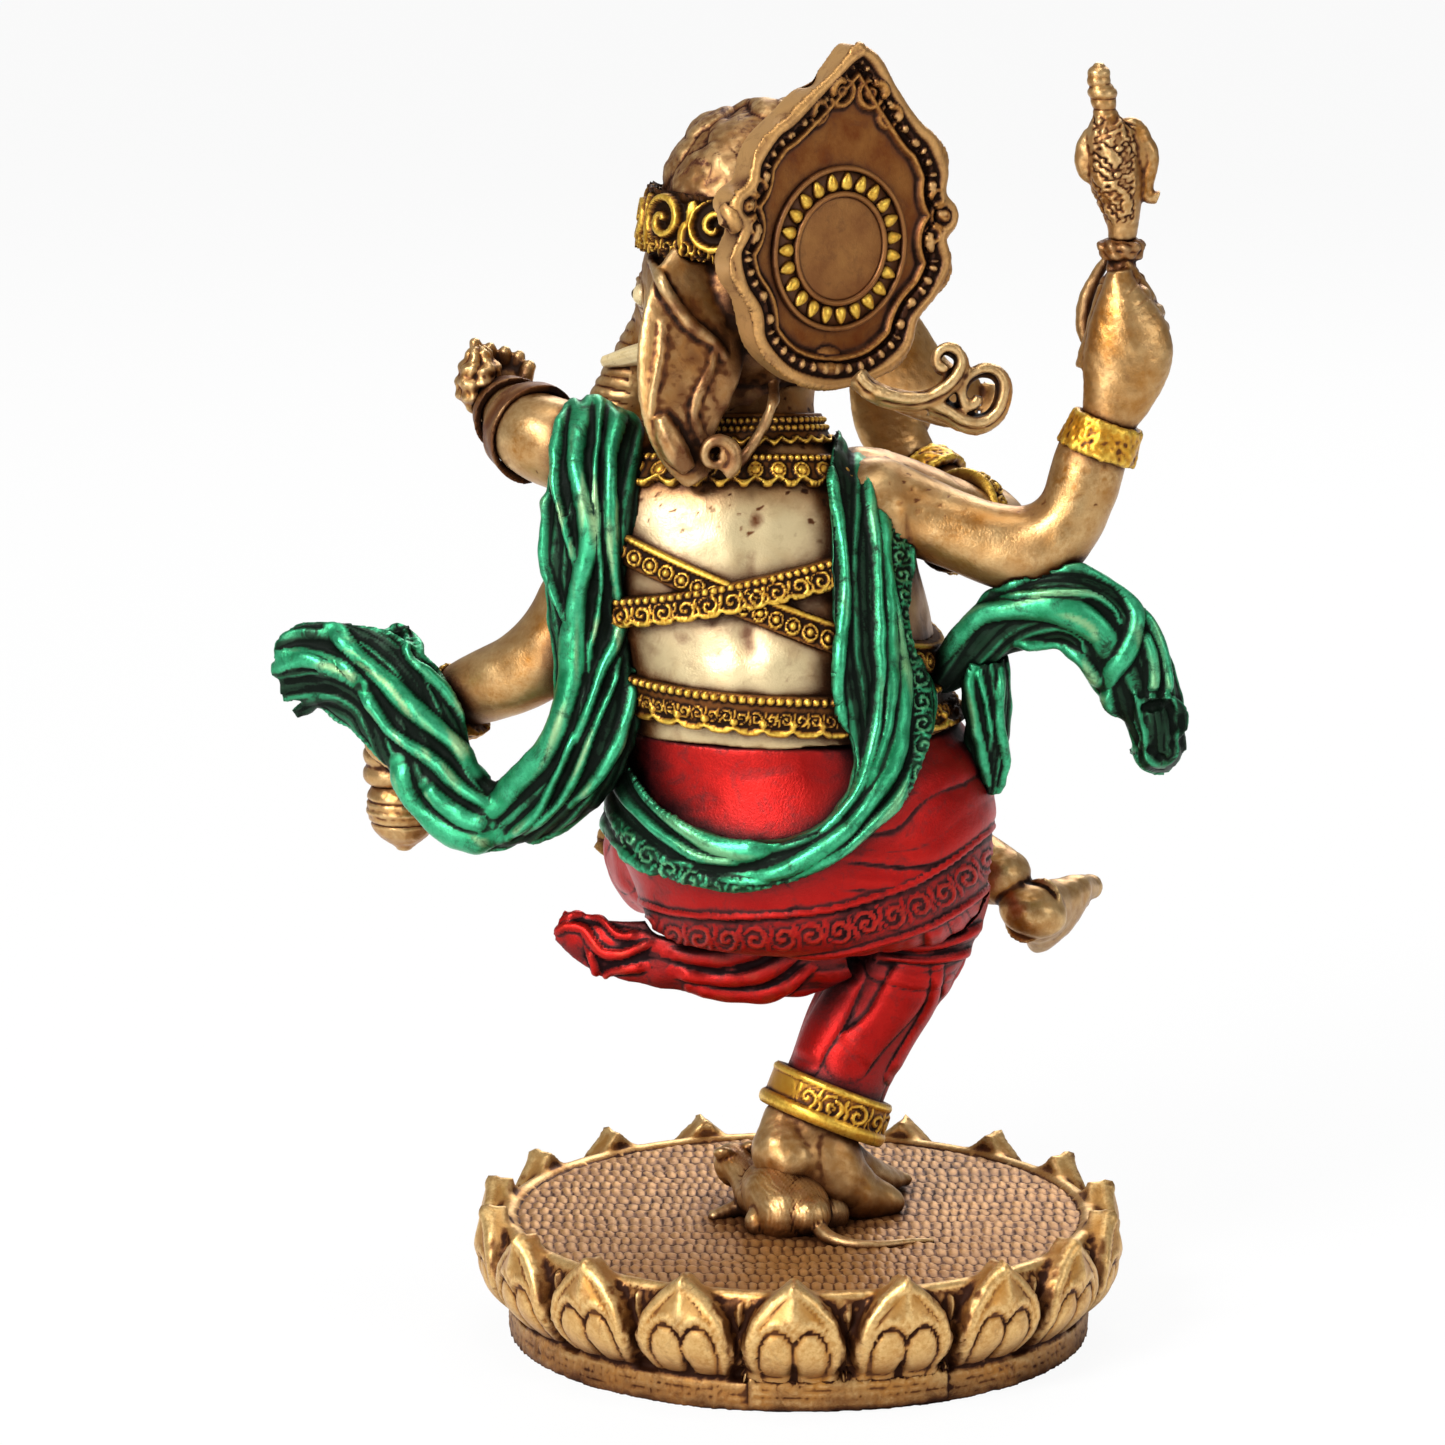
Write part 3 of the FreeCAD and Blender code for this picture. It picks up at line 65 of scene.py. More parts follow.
scene = bpy.context.scene
scene.view_settings.view_transform = "Standard"
camera_tilt = math.radians(12)
camera_away_m = 1.6
view_width_m = 0.3211
camera_data = bpy.data.cameras.new("camera")
camera_data.sensor_width = 36.0
camera_data.lens = 36.0 * camera_away_m / view_width_m
camera_data.clip_end = 20.0
camera = bpy.data.objects.new("camera", camera_data)
aim = Vector((-0.0172, 0.0, 0.1396))
camera.location = aim + Vector((0, -math.cos(camera_tilt), math.sin(camera_tilt))) * camera_away_m
camera.rotation_euler = (math.pi / 2 - camera_tilt, 0, 0)
bpy.context.collection.objects.link(camera)
scene.camera = camera

world = bpy.data.worlds.new("studio")
scene.world = world
world.use_nodes = True
tree = world.node_tree
tree.nodes.clear()
path = add(tree, "LightPath")
seen_by = add(tree, "Math", {0: path.outputs["Is Camera Ray"], 1: path.outputs["Is Transmission Ray"]},
              operation="MAXIMUM")
plain = add(tree, "Background", {"Color": linear("#F4F4F4"), "Strength": 0.34})
white = add(tree, "Background", {"Color": linear("#FFFFFF"), "Strength": 1.0})
shiny = add(tree, "Background", {"Color": linear("#F2F2F2"), "Strength": 0.34})
first = add(tree, "MixShader", {0: path.outputs["Is Glossy Ray"], 1: plain.outputs[0], 2: shiny.outputs[0]})
whole = add(tree, "MixShader", {0: seen_by.outputs[0], 1: first.outputs[0], 2: white.outputs[0]})
add(tree, "OutputWorld", {"Surface": whole.outputs[0]})

for name, spot, size_m, power in (("key", (-0.85, -1.05, 1.10), 0.45, 25.0),
                                  ("fill", (1.1, -0.8, 0.6), 0.7, 4.0),
                                  ("back", (0.3, 1.2, 1.0), 0.8, 10.0),
                                  ("low", (-0.7, -1.2, 0.22), 0.6, 6.0),
                                  ("top", (0.0, -0.1, 1.5), 0.5, 5.0)):
    lamp = bpy.data.lights.new(name, "AREA")
    lamp.size = size_m
    lamp.energy = power
    thing = bpy.data.objects.new(name, lamp)
    thing.location = spot
    thing.rotation_euler = (Vector((0, 0, 0.14)) - Vector(spot)).to_track_quat("-Z", "Y").to_euler()
    bpy.context.collection.objects.link(thing)

bm = bmesh.new()
bmesh.ops.create_grid(bm, x_segments=1, y_segments=1, size=6.0)
floor_mesh = bpy.data.meshes.new("floor")
bm.to_mesh(floor_mesh)
bm.free()
floor = bpy.data.objects.new("floor", floor_mesh)
bpy.context.collection.objects.link(floor)
sheet_paper = bpy.data.materials.new("white_studio_paper")
sheet_paper.use_nodes = True
tree = sheet_paper.node_tree
tree.nodes.clear()
path = add(tree, "LightPath")
matt = add(tree, "BsdfDiffuse", {"Color": linear("#E9E9E9")})
bright = add(tree, "Emission", {"Color": linear("#FFFFFF"), "Strength": 1.0})
# The table keeps a trace of the shadow under the base: its own shading is laid under the plain white.
share = add(tree, "Math", {0: path.outputs["Is Camera Ray"], 1: 0.93}, operation="MULTIPLY")
mixed = add(tree, "MixShader", {0: share.outputs[0], 1: matt.outputs[0], 2: bright.outputs[0]})
add(tree, "OutputMaterial", {"Surface": mixed.outputs[0]})
floor_mesh.materials.append(sheet_paper)

# ---------------------------------------------------------------- lotus base
# A round foot cast in one with a bowl, eighteen lotus petals round it and a rim. Each petal has a raised
# border, a keel to its tip and a pair of swelling lobes low down. Brown-gold paint over a dark wash.


def points_of(mesh):
    """A mesh's points and the ways they face, in millimetres."""
    spots, facing = np.empty(len(mesh.vertices) * 3), np.empty(len(mesh.vertices) * 3)
    mesh.vertices.foreach_get("co", spots)
    mesh.vertex_normals.foreach_get("vector", facing)
    return spots.reshape(-1, 3) * 1000.0, facing.reshape(-1, 3)


def cast(name, *nodes, grain=0.7, soften=3, extras=()):
    """One closed even skin over some CAD nodes and any added forms, ready to be tooled."""
    bm = bmesh.new()
    for node_name in nodes:
        bm.from_mesh(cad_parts[node_name].data)
    for extra in extras:
        bm.from_mesh(extra)
    bmesh.ops.remove_doubles(bm, verts=bm.verts, dist=2e-6)
    rough = bpy.data.meshes.new(name)
    bm.to_mesh(rough)
    bm.free()
    piece = bpy.data.objects.new(name, rough)
    bpy.context.collection.objects.link(piece)
    remesh = piece.modifiers.new("even", "REMESH")
    remesh.mode = "VOXEL"
    remesh.voxel_size = grain / 1000.0
    smooth = piece.modifiers.new("soften", "SMOOTH")
    smooth.factor, smooth.iterations = 0.5, soften
    ready = piece.evaluated_get(bpy.context.evaluated_depsgraph_get())
    piece.data = bpy.data.meshes.new_from_object(ready)
    piece.modifiers.clear()
    return piece


def drawn_out(name, line, radii):
    """A rounded swelling drawn out along a line: a ball at each point joined to the next."""
    bm = bmesh.new()
    for (start, end), (first, last) in zip(zip(line, line[1:]), zip(radii, radii[1:])):
        for i in range(7):
            place = Vector(start).lerp(Vector(end), i / 6) / 1000.0
            bmesh.ops.create_uvsphere(bm, u_segments=20, v_segments=12, matrix=Matrix.Translation(place),
                                      radius=(first + (last - first) * i / 6) / 1000.0)
    mesh = bpy.data.meshes.new(name)
    bm.to_mesh(mesh)
    bm.free()
    return mesh


def settle(values, edges, rounds):
    """Each point's values averaged with its neighbours', some rounds over."""
    count = len(values)
    links = np.maximum(np.bincount(edges.ravel(), minlength=count), 1)[:, None]
    for _ in range(rounds):
        total = np.empty_like(values)
        for k in range(values.shape[1]):
            column = values[:, k]
            total[:, k] = (np.bincount(edges[:, 0], column[edges[:, 1]], count)
                           + np.bincount(edges[:, 1], column[edges[:, 0]], count))
        values = 0.5 * values + 0.5 * total / links
    return values


def mark(mesh, name, values):
    """Keeps one number for each point of a mesh, for its paint to read."""
    layer = mesh.attributes.get(name) or mesh.attributes.new(name, "FLOAT", "POINT")
    layer.data.foreach_set("value", np.ascontiguousarray(values, dtype=np.float32))


def tool(piece, height=None, fine=0.10, broad=0.8, **marks):
    """Raises or sinks a skin by heights in mm, then notes how hollow it is at each point, from -1 to 1."""
    mesh = piece.data
    spots, facing = points_of(mesh)
    if height is not None:
        spots = spots + facing * np.asarray(height)[:, None]
        mesh.vertices.foreach_set("co", (spots / 1000.0).ravel())
        mesh.update()
        spots, facing = points_of(mesh)
    ends = np.empty(len(mesh.edges) * 2, dtype=np.int32)
    mesh.edges.foreach_get("vertices", ends)
    ends = ends.reshape(-1, 2)
    near = settle(spots, ends, 5)
    wide = settle(near, ends, 36)
    sharp = np.clip(np.sum((near - spots) * facing, axis=1) / fine, -1, 1)
    swell = np.clip(np.sum((wide - spots) * facing, axis=1) / broad, -1, 1)
    mark(mesh, "hollow", 0.55 * sharp + 0.45 * swell)
    for name, values in marks.items():
        mark(mesh, name, values)
    return piece


def dress(piece, paint, slot, *nodes):
    """Paints a finished piece, fixes it to the idol and hides the CAD nodes it stands for."""
    piece.data.materials.clear()
    piece.data.materials.append(paint)
    piece.data.polygons.foreach_set("use_smooth", [True] * len(piece.data.polygons))
    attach(piece, "root")
    if nodes:
        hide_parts(*nodes)
    return piece


def ease(values, low, high):
    """A soft step from 0 at low to 1 at high."""
    share = np.clip((values - low) / (high - low), 0, 1)
    return share * share * (3 - 2 * share)


def dome(distance, radius):
    """The height of a round bead or cord of unit height across its own width."""
    return np.sqrt(np.clip(1 - (distance / radius) ** 2, 0, 1))


def mottle(spots, size, seed=0):
    """Smooth chance variation between -1 and 1, about size mm from one swell to the next."""
    chance = np.random.default_rng(seed)
    total = np.zeros(len(spots))
    for _ in range(9):
        way = chance.normal(size=3)
        way *= chance.uniform(0.7, 1.5) * 2 * np.pi / size / np.linalg.norm(way)
        total += np.sin(spots @ way + chance.uniform(0, 6.28))
    return np.clip(total / 4.0, -1, 1)


def aged_paint(name, body, light, wash, metal=0.75, rough=0.36, gilt="#D9B467", wear=0.55, grit=0.25,
               corner_wash_and_shade=1.0, grime=0.30, glaze="#6B3A12"):
    """Metallic paint on cast resin, rubbed back on the ridges, with a dark wash left in the hollows and
    painted shade in corners and between parts.

    body and light are the two tones of the metal, glaze and wash the thin and the thick of the dark wash and
    of the painted shade, soak how strongly corners are darkened, and gilt is the gold brushed on where a
    piece is marked for it.
    """
    material = bpy.data.materials.new(name)
    material.use_nodes = True
    tree = material.node_tree
    tree.nodes.clear()
    place = add(tree, "TexCoord").outputs["Object"]
    # Blotches of 9 mm from brushing by hand, and grains of about 0.5 mm in the cast surface.
    blotch = add(tree, "TexNoise", {"Vector": place, "Scale": 110.0, "Detail": 5.0, "Roughness": 0.62})
    fleck = add(tree, "TexNoise", {"Vector": place, "Scale": 900.0, "Detail": 4.0, "Roughness": 0.7})
    grain = add(tree, "TexNoise", {"Vector": place, "Scale": 2100.0, "Detail": 3.0, "Roughness": 0.6})
    smear = add(tree, "TexNoise", {"Vector": place, "Scale": 210.0, "Detail": 6.0, "Roughness": 0.75,
                                   "Distortion": 0.6})
    hollow = add(tree, "Attribute", attribute_name="hollow").outputs["Fac"]
    low = add(tree, "Attribute", attribute_name="low").outputs["Fac"]
    brushed = add(tree, "Attribute", attribute_name="gilt").outputs["Fac"]
    # Painted shade: an occlusion test darkens the paint wherever other surfaces close in within 11 mm, in
    # corners and between parts.
    shade = add(tree, "AmbientOcclusion", {"Distance": 0.011}, samples=6).outputs["AO"]
    # How dark the paint goes: the wash deep in hollows, painted shade in corners and between parts, and a
    # little by chance.
    depth = add(tree, "MapRange", {"Value": hollow, "From Min": 0.02, "From Max": 0.75,
                                   "To Min": 0.0, "To Max": 0.95}).outputs[0]
    wash_and_shade_in_corners = add(tree, "MapRange", {"Value": shade, "From Min": 0.90, "From Max": 0.28,
                                    "To Min": 0.0, "To Max": 0.95 * corner_wash_and_shade}).outputs[0]
    chance = add(tree, "MapRange", {"Value": blotch.outputs["Fac"], "From Min": 0.35, "From Max": 0.7,
                                    "To Min": 0.55, "To Max": 1.3}).outputs[0]
    both = add(tree, "Math", {0: depth, 1: wash_and_shade_in_corners}, operation="ADD").outputs[0]
    wash_and_shade_sum = add(tree, "Math", {0: both, 1: chance}, operation="MULTIPLY").outputs[0]
    dirt = add(tree, "MapRange", {"Value": smear.outputs["Fac"], "From Min": 0.52, "From Max": 0.74,
                                  "To Min": 0.0, "To Max": grime}).outputs[0]
    wash_and_shade_sum = add(tree, "Math", {0: wash_and_shade_sum, 1: dirt}, operation="ADD").outputs[0]
    stain_and_shade = add(tree, "Math", {0: wash_and_shade_sum, 1: low}, operation="ADD", use_clamp=True).outputs[0]
    ridge = add(tree, "MapRange", {"Value": hollow, "From Min": -0.12, "From Max": -0.85,
                                   "To Min": 0.0, "To Max": 1.0}).outputs[0]
    rub = add(tree, "MapRange", {"Value": fleck.outputs["Fac"], "From Min": 0.36, "From Max": 0.60,
                                 "To Min": 0.25, "To Max": 1.0}).outputs[0]
    worn = add(tree, "Math", {0: ridge, 1: rub}, operation="MULTIPLY").outputs[0]
    worn = add(tree, "Math", {0: worn, 1: wear}, operation="MULTIPLY", use_clamp=True).outputs[0]
    tone = add(tree, "MapRange", {"Value": blotch.outputs["Fac"], "From Min": 0.3, "From Max": 0.72,
                                  "To Min": 0.0, "To Max": 0.45}).outputs[0]
    colour = add(tree, "Mix", {"Factor": tone, "A": linear(body), "B": linear(light)}, data_type="RGBA")
    colour = add(tree, "Mix", {"Factor": worn, "A": colour.outputs["Result"], "B": linear(light)},
                 data_type="RGBA")
    colour = add(tree, "Mix", {"Factor": brushed, "A": colour.outputs["Result"], "B": linear(gilt)},
                 data_type="RGBA")
    thin = add(tree, "MapRange", {"Value": stain_and_shade, "From Min": 0.0, "From Max": 0.45}).outputs[0]
    thick = add(tree, "MapRange", {"Value": stain_and_shade, "From Min": 0.25, "From Max": 0.95}).outputs[0]
    colour = add(tree, "Mix", {"Factor": thin, "A": colour.outputs["Result"], "B": linear(glaze)},
                 data_type="RGBA")
    colour = add(tree, "Mix", {"Factor": thick, "A": colour.outputs["Result"], "B": linear(wash)},
                 data_type="RGBA")
    bare = add(tree, "MapRange", {"Value": stain_and_shade, "From Min": 0.0, "From Max": 1.0,
                                  "To Min": metal, "To Max": metal * 0.2}).outputs[0]
    covered = add(tree, "MapRange", {"Value": brushed, "To Min": 1.0, "To Max": 0.5}).outputs[0]
    metallic = add(tree, "Math", {0: bare, 1: covered}, operation="MULTIPLY").outputs[0]
    gloss = add(tree, "MapRange", {"Value": thick, "To Min": 0.5, "To Max": 0.08}).outputs[0]
    dull = add(tree, "Math", {0: stain_and_shade, 1: 0.22}, operation="MULTIPLY").outputs[0]
    speckle = add(tree, "MapRange", {"Value": fleck.outputs["Fac"], "To Min": rough - 0.07,
                                     "To Max": rough + 0.10}).outputs[0]
    roughness = add(tree, "Math", {0: speckle, 1: dull}, operation="ADD").outputs[0]
    relief = add(tree, "Math", {0: grain.outputs["Fac"], 1: fleck.outputs["Fac"]},
                 operation="ADD").outputs[0]
    bump = add(tree, "Bump", {"Height": relief, "Strength": grit, "Distance": 0.00025})
    shader = add(tree, "BsdfPrincipled", {"Base Color": colour.outputs["Result"], "Metallic": metallic,
                                          "Roughness": roughness, "Specular IOR Level": gloss,
                                          "Normal": bump.outputs[0]})
    add(tree, "OutputMaterial", {"Surface": shader.outputs[0]})
    return material


# Bronze-gold metallic paint over cast resin, a brown wash wiped off: satin, warm, with painted shade in the
# corners.
base_bronze = aged_paint("bronze_gold_paint_on_cast_resin", "#B0762C", "#EBC888", "#2C1408", metal=0.82,
                         wear=0.8, glaze="#7A4718")
base = cast("lotus_base_casting", "lotus_base", grain=0.81, soften=2)
spots, facing = points_of(base.data)
around = np.degrees(np.arctan2(spots[:, 0], -spots[:, 1]))
radius = np.hypot(spots[:, 0], spots[:, 1])
z = spots[:, 2]
outside = ease(facing[:, 0] * spots[:, 0] + facing[:, 1] * spots[:, 1], 0.0, 22.0) * ease(radius, 60, 62)
petal_pitch = 20.0
petal_foot, petal_height, petal_half_width = 7.5, 23.6, 10.6
petal_place = (around + 1.5 + petal_pitch / 2) % petal_pitch - petal_pitch / 2
across = np.radians(petal_place) * radius
tall = (z - petal_foot) / petal_height
half = petal_half_width * np.interp(tall, [0, 0.22, 0.43, 0.62, 0.81, 0.94, 1.0],
                                    [0.78, 0.97, 1.0, 0.88, 0.54, 0.19, 0])
inward = (half - np.abs(across)) * np.interp(tall, [0.4, 0.7, 1.0], [1.0, 0.75, 0.5])
on_petal = ease(inward, -0.2, 0.5) * outside * ease(z, 7.6, 8.6)
border = dome(inward - 0.9, 1.3) * 0.5
keel = np.clip(1 - np.abs(across) / np.maximum(half, 1), 0, 1) * ease(tall, 0.42, 0.66) * 2.2
lobe_across, lobe_up = np.abs(across) - 3.7, z - 13.6
reach = np.sqrt((lobe_across / 3.75) ** 2 + (lobe_up / np.where(lobe_up > 0, 6.2, 7.8)) ** 2)
lobes = dome(reach, 1.0)
arch = (dome(reach - 1.30, 0.16) * 0.40 - dome(reach - 1.08, 0.10) * 0.35) * ease(z, 12, 16)
slit = -0.9 * np.exp(-(across / 0.8) ** 2) * ease(-z, -13.5, -10.5)
gap_place = petal_pitch / 2 - np.abs(petal_place)
gap_across = np.radians(gap_place) * radius
tongue_half = 1.9 * np.clip((25.5 - z) / 9.0, 0, 1) ** 0.6
tongue = dome(gap_across, np.maximum(tongue_half, 0.01)) * 1.5 * outside * ease(z, 9, 11) * (z < 25)
pits = mottle(spots, 2.1, 3) * 0.22 * (1 - on_petal) * outside * (z > 7) * (z < 26)
# The foot is cut flat and left plain where the casting gate was, at the back.
gate = (np.abs(spots[:, 0] - 10.2) < 21.7) * (spots[:, 1] < 0) * ease(z, 0.4, 1.2) * ease(-z, -10.4, -9.2)
gate_depth = np.clip(66.4 - radius, 0, 4.5) * gate
height = on_petal * (border + keel + lobes + arch + slit) + tongue + pits + gate_depth * outside
height += outside * (z < 6.5) * (mottle(spots, 1.7, 5) * 0.10
                                 + mottle(spots * [0.2, 0.2, 3.0], 3, 6) * 0.12)
rough_ground = (1 - np.clip(on_petal + (gate_depth > 0.3), 0, 1)) * outside * (z > 6.3) * (z < 26.2)
tool(base, height, low=rough_ground * (0.30 + 0.3 * mottle(spots, 3.0, 8)) * (1 - np.clip(tongue, 0, 1)))
dress(base, base_bronze, "bronze_base_paint", "lotus_base")

# The deck inside the rim is cast with wavering rows of lapped scales, each about 2.4 by 5.6 mm.
bm = bmesh.new()
bmesh.ops.create_grid(bm, x_segments=256, y_segments=256, size=0.0642)
deck_level = 26.25
edge_of_deck = [v for v in bm.verts if v.co.length > 0.0639]
bmesh.ops.delete(bm, geom=edge_of_deck, context="VERTS")
deck_mesh = bpy.data.meshes.new("scaled_deck")
rim_edges = [e for e in bm.edges if e.is_boundary]
walls = bmesh.ops.extrude_edge_only(bm, edges=rim_edges)
low_ring = [g for g in walls["geom"] if isinstance(g, bmesh.types.BMVert)]
bmesh.ops.translate(bm, verts=low_ring, vec=(0, 0, -0.0012))
bmesh.ops.contextual_create(bm, geom=[e for e in bm.edges if e.is_boundary])
bmesh.ops.recalc_face_normals(bm, faces=bm.faces)
bm.to_mesh(deck_mesh)
bm.free()
deck = bpy.data.objects.new("scaled_deck", deck_mesh)
bpy.context.collection.objects.link(deck)
spots, facing = points_of(deck_mesh)
lean = spots[:, 0] + 0.10 * spots[:, 1] + 0.6 * mottle(spots, 24, 2)
rows = (spots[:, 1] + 0.05 * spots[:, 0] + 1.2 * mottle(spots, 30, 4) + 0.3 * mottle(spots, 9, 5)) / 5.6
row = np.floor(rows)
lap = 1 - (rows - row)
scale_across = (lean / 2.4 + 0.5 * (row % 2) + 0.13 * np.sin(row * 2.3)) % 1.0 - 0.5
tongue_end = lap - 0.22 * (1 - dome(scale_across, 0.56))
scales = dome(scale_across, 0.56) * (0.1 + 0.9 * np.clip(1.1 - lap, 0, 1)) * ease(tongue_end, 0.0, 0.10)
scales *= 0.78 + 0.22 * mottle(spots, 5, 9)
inside_rim = ease(-np.hypot(spots[:, 0], spots[:, 1]), -63.8, -62.5)
spots[:, 2] += deck_level + 0.95 * scales * (facing[:, 2] > 0.2) * inside_rim
deck_mesh.vertices.foreach_set("co", (spots / 1000.0).ravel())
deck_mesh.update()
# Darker brown-gold paint, more of the wash left between the scales.
deck_bronze = aged_paint("brown_gold_paint_on_scaled_deck", "#9E6E34", "#CFA068", "#3A1E0C", metal=0.6,
                         rough=0.42, wear=0.6, glaze="#7A4C26")
tool(deck, None, fine=0.07, broad=0.5, low=0.34 * (1 - np.clip(scales * 2.0, 0, 1)))
dress(deck, deck_bronze, "bronze_base_paint")

# The felt pad under the foot and the steel rods inside are plain.
felt = bpy.data.materials.new("black_wool_felt")
felt.use_nodes = True
tree = felt.node_tree
fibre = add(tree, "TexNoise", {"Vector": add(tree, "TexCoord").outputs["Object"], "Scale": 2500.0})
fuzz = add(tree, "Mix", {"Factor": fibre.outputs["Fac"], "A": linear("#141414"), "B": linear("#2B2B2B")},
           data_type="RGBA")
shader = tree.nodes["Principled BSDF"]
shader.inputs["Roughness"].default_value = 0.95
tree.links.new(fuzz.outputs["Result"], shader.inputs["Base Color"])
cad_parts["felt_pad"].data.materials.clear()
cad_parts["felt_pad"].data.materials.append(felt)
rod_steel = bpy.data.materials.new("drawn_steel_rod")
rod_steel.use_nodes = True
tree = rod_steel.node_tree
drawn = add(tree, "TexNoise", {"Vector": add(tree, "TexCoord").outputs["Object"], "Scale": 900.0})
shader = tree.nodes["Principled BSDF"]
shader.inputs["Base Color"].default_value = linear("#B9BBBD")
shader.inputs["Metallic"].default_value = 1.0
sheen = add(tree, "MapRange", {"Value": drawn.outputs["Fac"], "To Min": 0.25, "To Max": 0.45})
tree.links.new(sheen.outputs[0], shader.inputs["Roughness"])
for rod in ("armature_rod", "goad_pin"):
    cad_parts[rod].data.materials.clear()
    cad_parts[rod].data.materials.append(rod_steel)

# ---------------------------------------------------------------- mouse
# The mouse crouches under the heel with its rump to the back and its tail curled over the deck. It is
# one casting with its tail, its coat cut in short strokes. Pale antique gold.

# Antique gold metallic paint, pale and warm, with a brown-black wash: the finish of the figure itself.
antique_gold = aged_paint("antique_gold_paint_on_cast_resin", "#9A6422", "#ECCF98", "#1E0E05", metal=0.84,
                          rough=0.33, grime=0.2)
rump = drawn_out("rump", [(-7.5, -4.0, 34.0), (-4.8, -10.0, 33.5), (-3.2, -15.0, 31.0)], (5.6, 8.0, 7.2))
mouse = cast("mouse_casting", "mouse_body", "mouse_tail", grain=0.42, soften=8, extras=[rump])
spots, facing = points_of(mouse.data)
body = ease(-np.hypot((spots[:, 0] + 5) / 1.3, (spots[:, 1] + 5) / 1.6), -15.5, -13.0)
body = body * ease(spots[:, 2], 26.5, 28.0)
lie = np.stack([spots[:, 0] * 0.8 + spots[:, 1] * 0.6, spots[:, 1] * -0.8 + spots[:, 0] * 0.55], 1)
stroke = np.sin(lie[:, 0] * 5.2 + 2.2 * mottle(spots, 5, 1)) * (0.6 + 0.4 * mottle(spots, 3, 2))
stroke += 0.6 * np.sin(lie[:, 0] * 9.1 + lie[:, 1] * 0.9 + 2.0 * mottle(spots, 4, 3))
tool(mouse, body * stroke * 0.05, fine=0.06, broad=0.6)
dress(mouse, antique_gold, "antique_gold_resin", "mouse_body", "mouse_tail")

# ---------------------------------------------------------------- feet
# Bare feet in antique gold: the standing one on the mouse, the other swung up behind to the right.

heel_and_ankle = [drawn_out(name, line, radii) for name, line, radii in (
    ("heel", [(-3.0, -4.0, 49.0), (-3.6, -7.0, 43.0), (-2.0, -6.0, 38.5), (0.5, -2.0, 36.0)],
     (5.4, 7.4, 7.4, 6.6)),
    ("ankle", [(1.0, -4.0, 48.0), (1.4, -5.6, 42.0), (3.0, -5.0, 37.0)], (6.6, 7.2, 7.0)),
    ("instep", [(4.5, -1.0, 50.0), (5.5, -4.0, 42.0), (8.0, -4.0, 36.0), (13.5, -2.0, 31.5),
                (21.0, 0.0, 29.0)], (7.8, 8.2, 7.8, 6.0, 3.2)))]
for node_name, soften, swellings in (("standing_foot", 16, heel_and_ankle), ("raised_foot", 5, ())):
    foot = cast(node_name + "_casting", node_name, grain=0.5, soften=soften, extras=swellings)
    spots, facing = points_of(foot.data)
    tool(foot, mottle(spots, 7, 4) * 0.16 + mottle(spots, 2.6, 5) * 0.05, fine=0.06)
    dress(foot, antique_gold, "antique_gold_resin", node_name)

# ---------------------------------------------------------------- legs and wrapped cloth
# Red trouser legs, the cloth wrapped over the hips with its stamped border, and its tail flying left.
# Metallic red paint; the folds keep a black-red wash and the borders a trace of gold.


# The cosine and sine of the 12 degrees that the line of sight stands above level.
sight_level, sight_rise = 0.978, 0.208


def seen(spots):
    """Points drawn on a sheet square to a line of sight 12 degrees above level, from behind the figure."""
    return np.stack([spots[:, 0], sight_level * spots[:, 2] + sight_rise * spots[:, 1]], 1)


def flow(points, steps=12):
    """A smooth line through points, in short steps."""
    points = np.array(points, dtype=float)
    ends = np.vstack([2 * points[0] - points[1], points, 2 * points[-1] - points[-2]])
    line = []
    for i in range(1, len(ends) - 2):
        a, b, c, d = ends[i - 1], ends[i], ends[i + 1], ends[i + 2]
        for share in np.arange(steps) / steps:
            line.append(0.5 * (2 * b + (c - a) * share + (2 * a - 5 * b + 4 * c - d) * share ** 2
                               + (3 * b - a - 3 * c + d) * share ** 3))
    line.append(points[-1])
    return np.array(line)


def along(line, places):
    """How far along a line each place lies, and how far to its left side, both in mm."""
    starts, ways = line[:-1], line[1:] - line[:-1]
    lengths = np.linalg.norm(ways, axis=1)
    before = np.concatenate([[0], np.cumsum(lengths)[:-1]])
    best = np.full(len(places), 1e9)
    run, side = np.zeros(len(places)), np.zeros(len(places))
    for start, way, length, passed in zip(starts, ways, lengths, before):
        if length < 1e-9:
            continue
        offset = places - start
        share = np.clip(offset @ way / length ** 2, 0, 1)
        gap = offset - share[:, None] * way
        far = np.hypot(gap[:, 0], gap[:, 1])
        nearer = far < best
        turn = np.sign(way[0] * offset[:, 1] - way[1] * offset[:, 0])
        best = np.where(nearer, far, best)
        run = np.where(nearer, passed + share * length, run)
        side = np.where(nearer, far * turn, side)
    return run, side


def folds(run, side, pitch, sway=0.3, seed=0, skew=0.62):
    """Height of cloth gathered along its length, 0 to 1: uneven ridges that lean over narrow valleys."""
    drift = sway * pitch * (np.sin(run / 23 + seed) + 0.55 * np.sin(run / 9.7 + 1.7 * seed + side / 8))
    phase = (side + drift) / pitch + 0.36 * np.sin(side * 1.1 / pitch + seed + run / 31)
    fold = np.floor(phase)
    uneven = 0.70 + 0.30 * np.sin(fold * 2.4 + seed + run / 24)
    broad_ridge = np.sin(np.pi * (phase - fold) ** skew) ** 0.9 * uneven
    small_ridge = np.abs(np.sin(np.pi * (phase * 2.17 + 0.31 + 0.12 * np.sin(run / 12 + seed)))) ** 0.9
    return 0.84 * broad_ridge + 0.16 * small_ridge


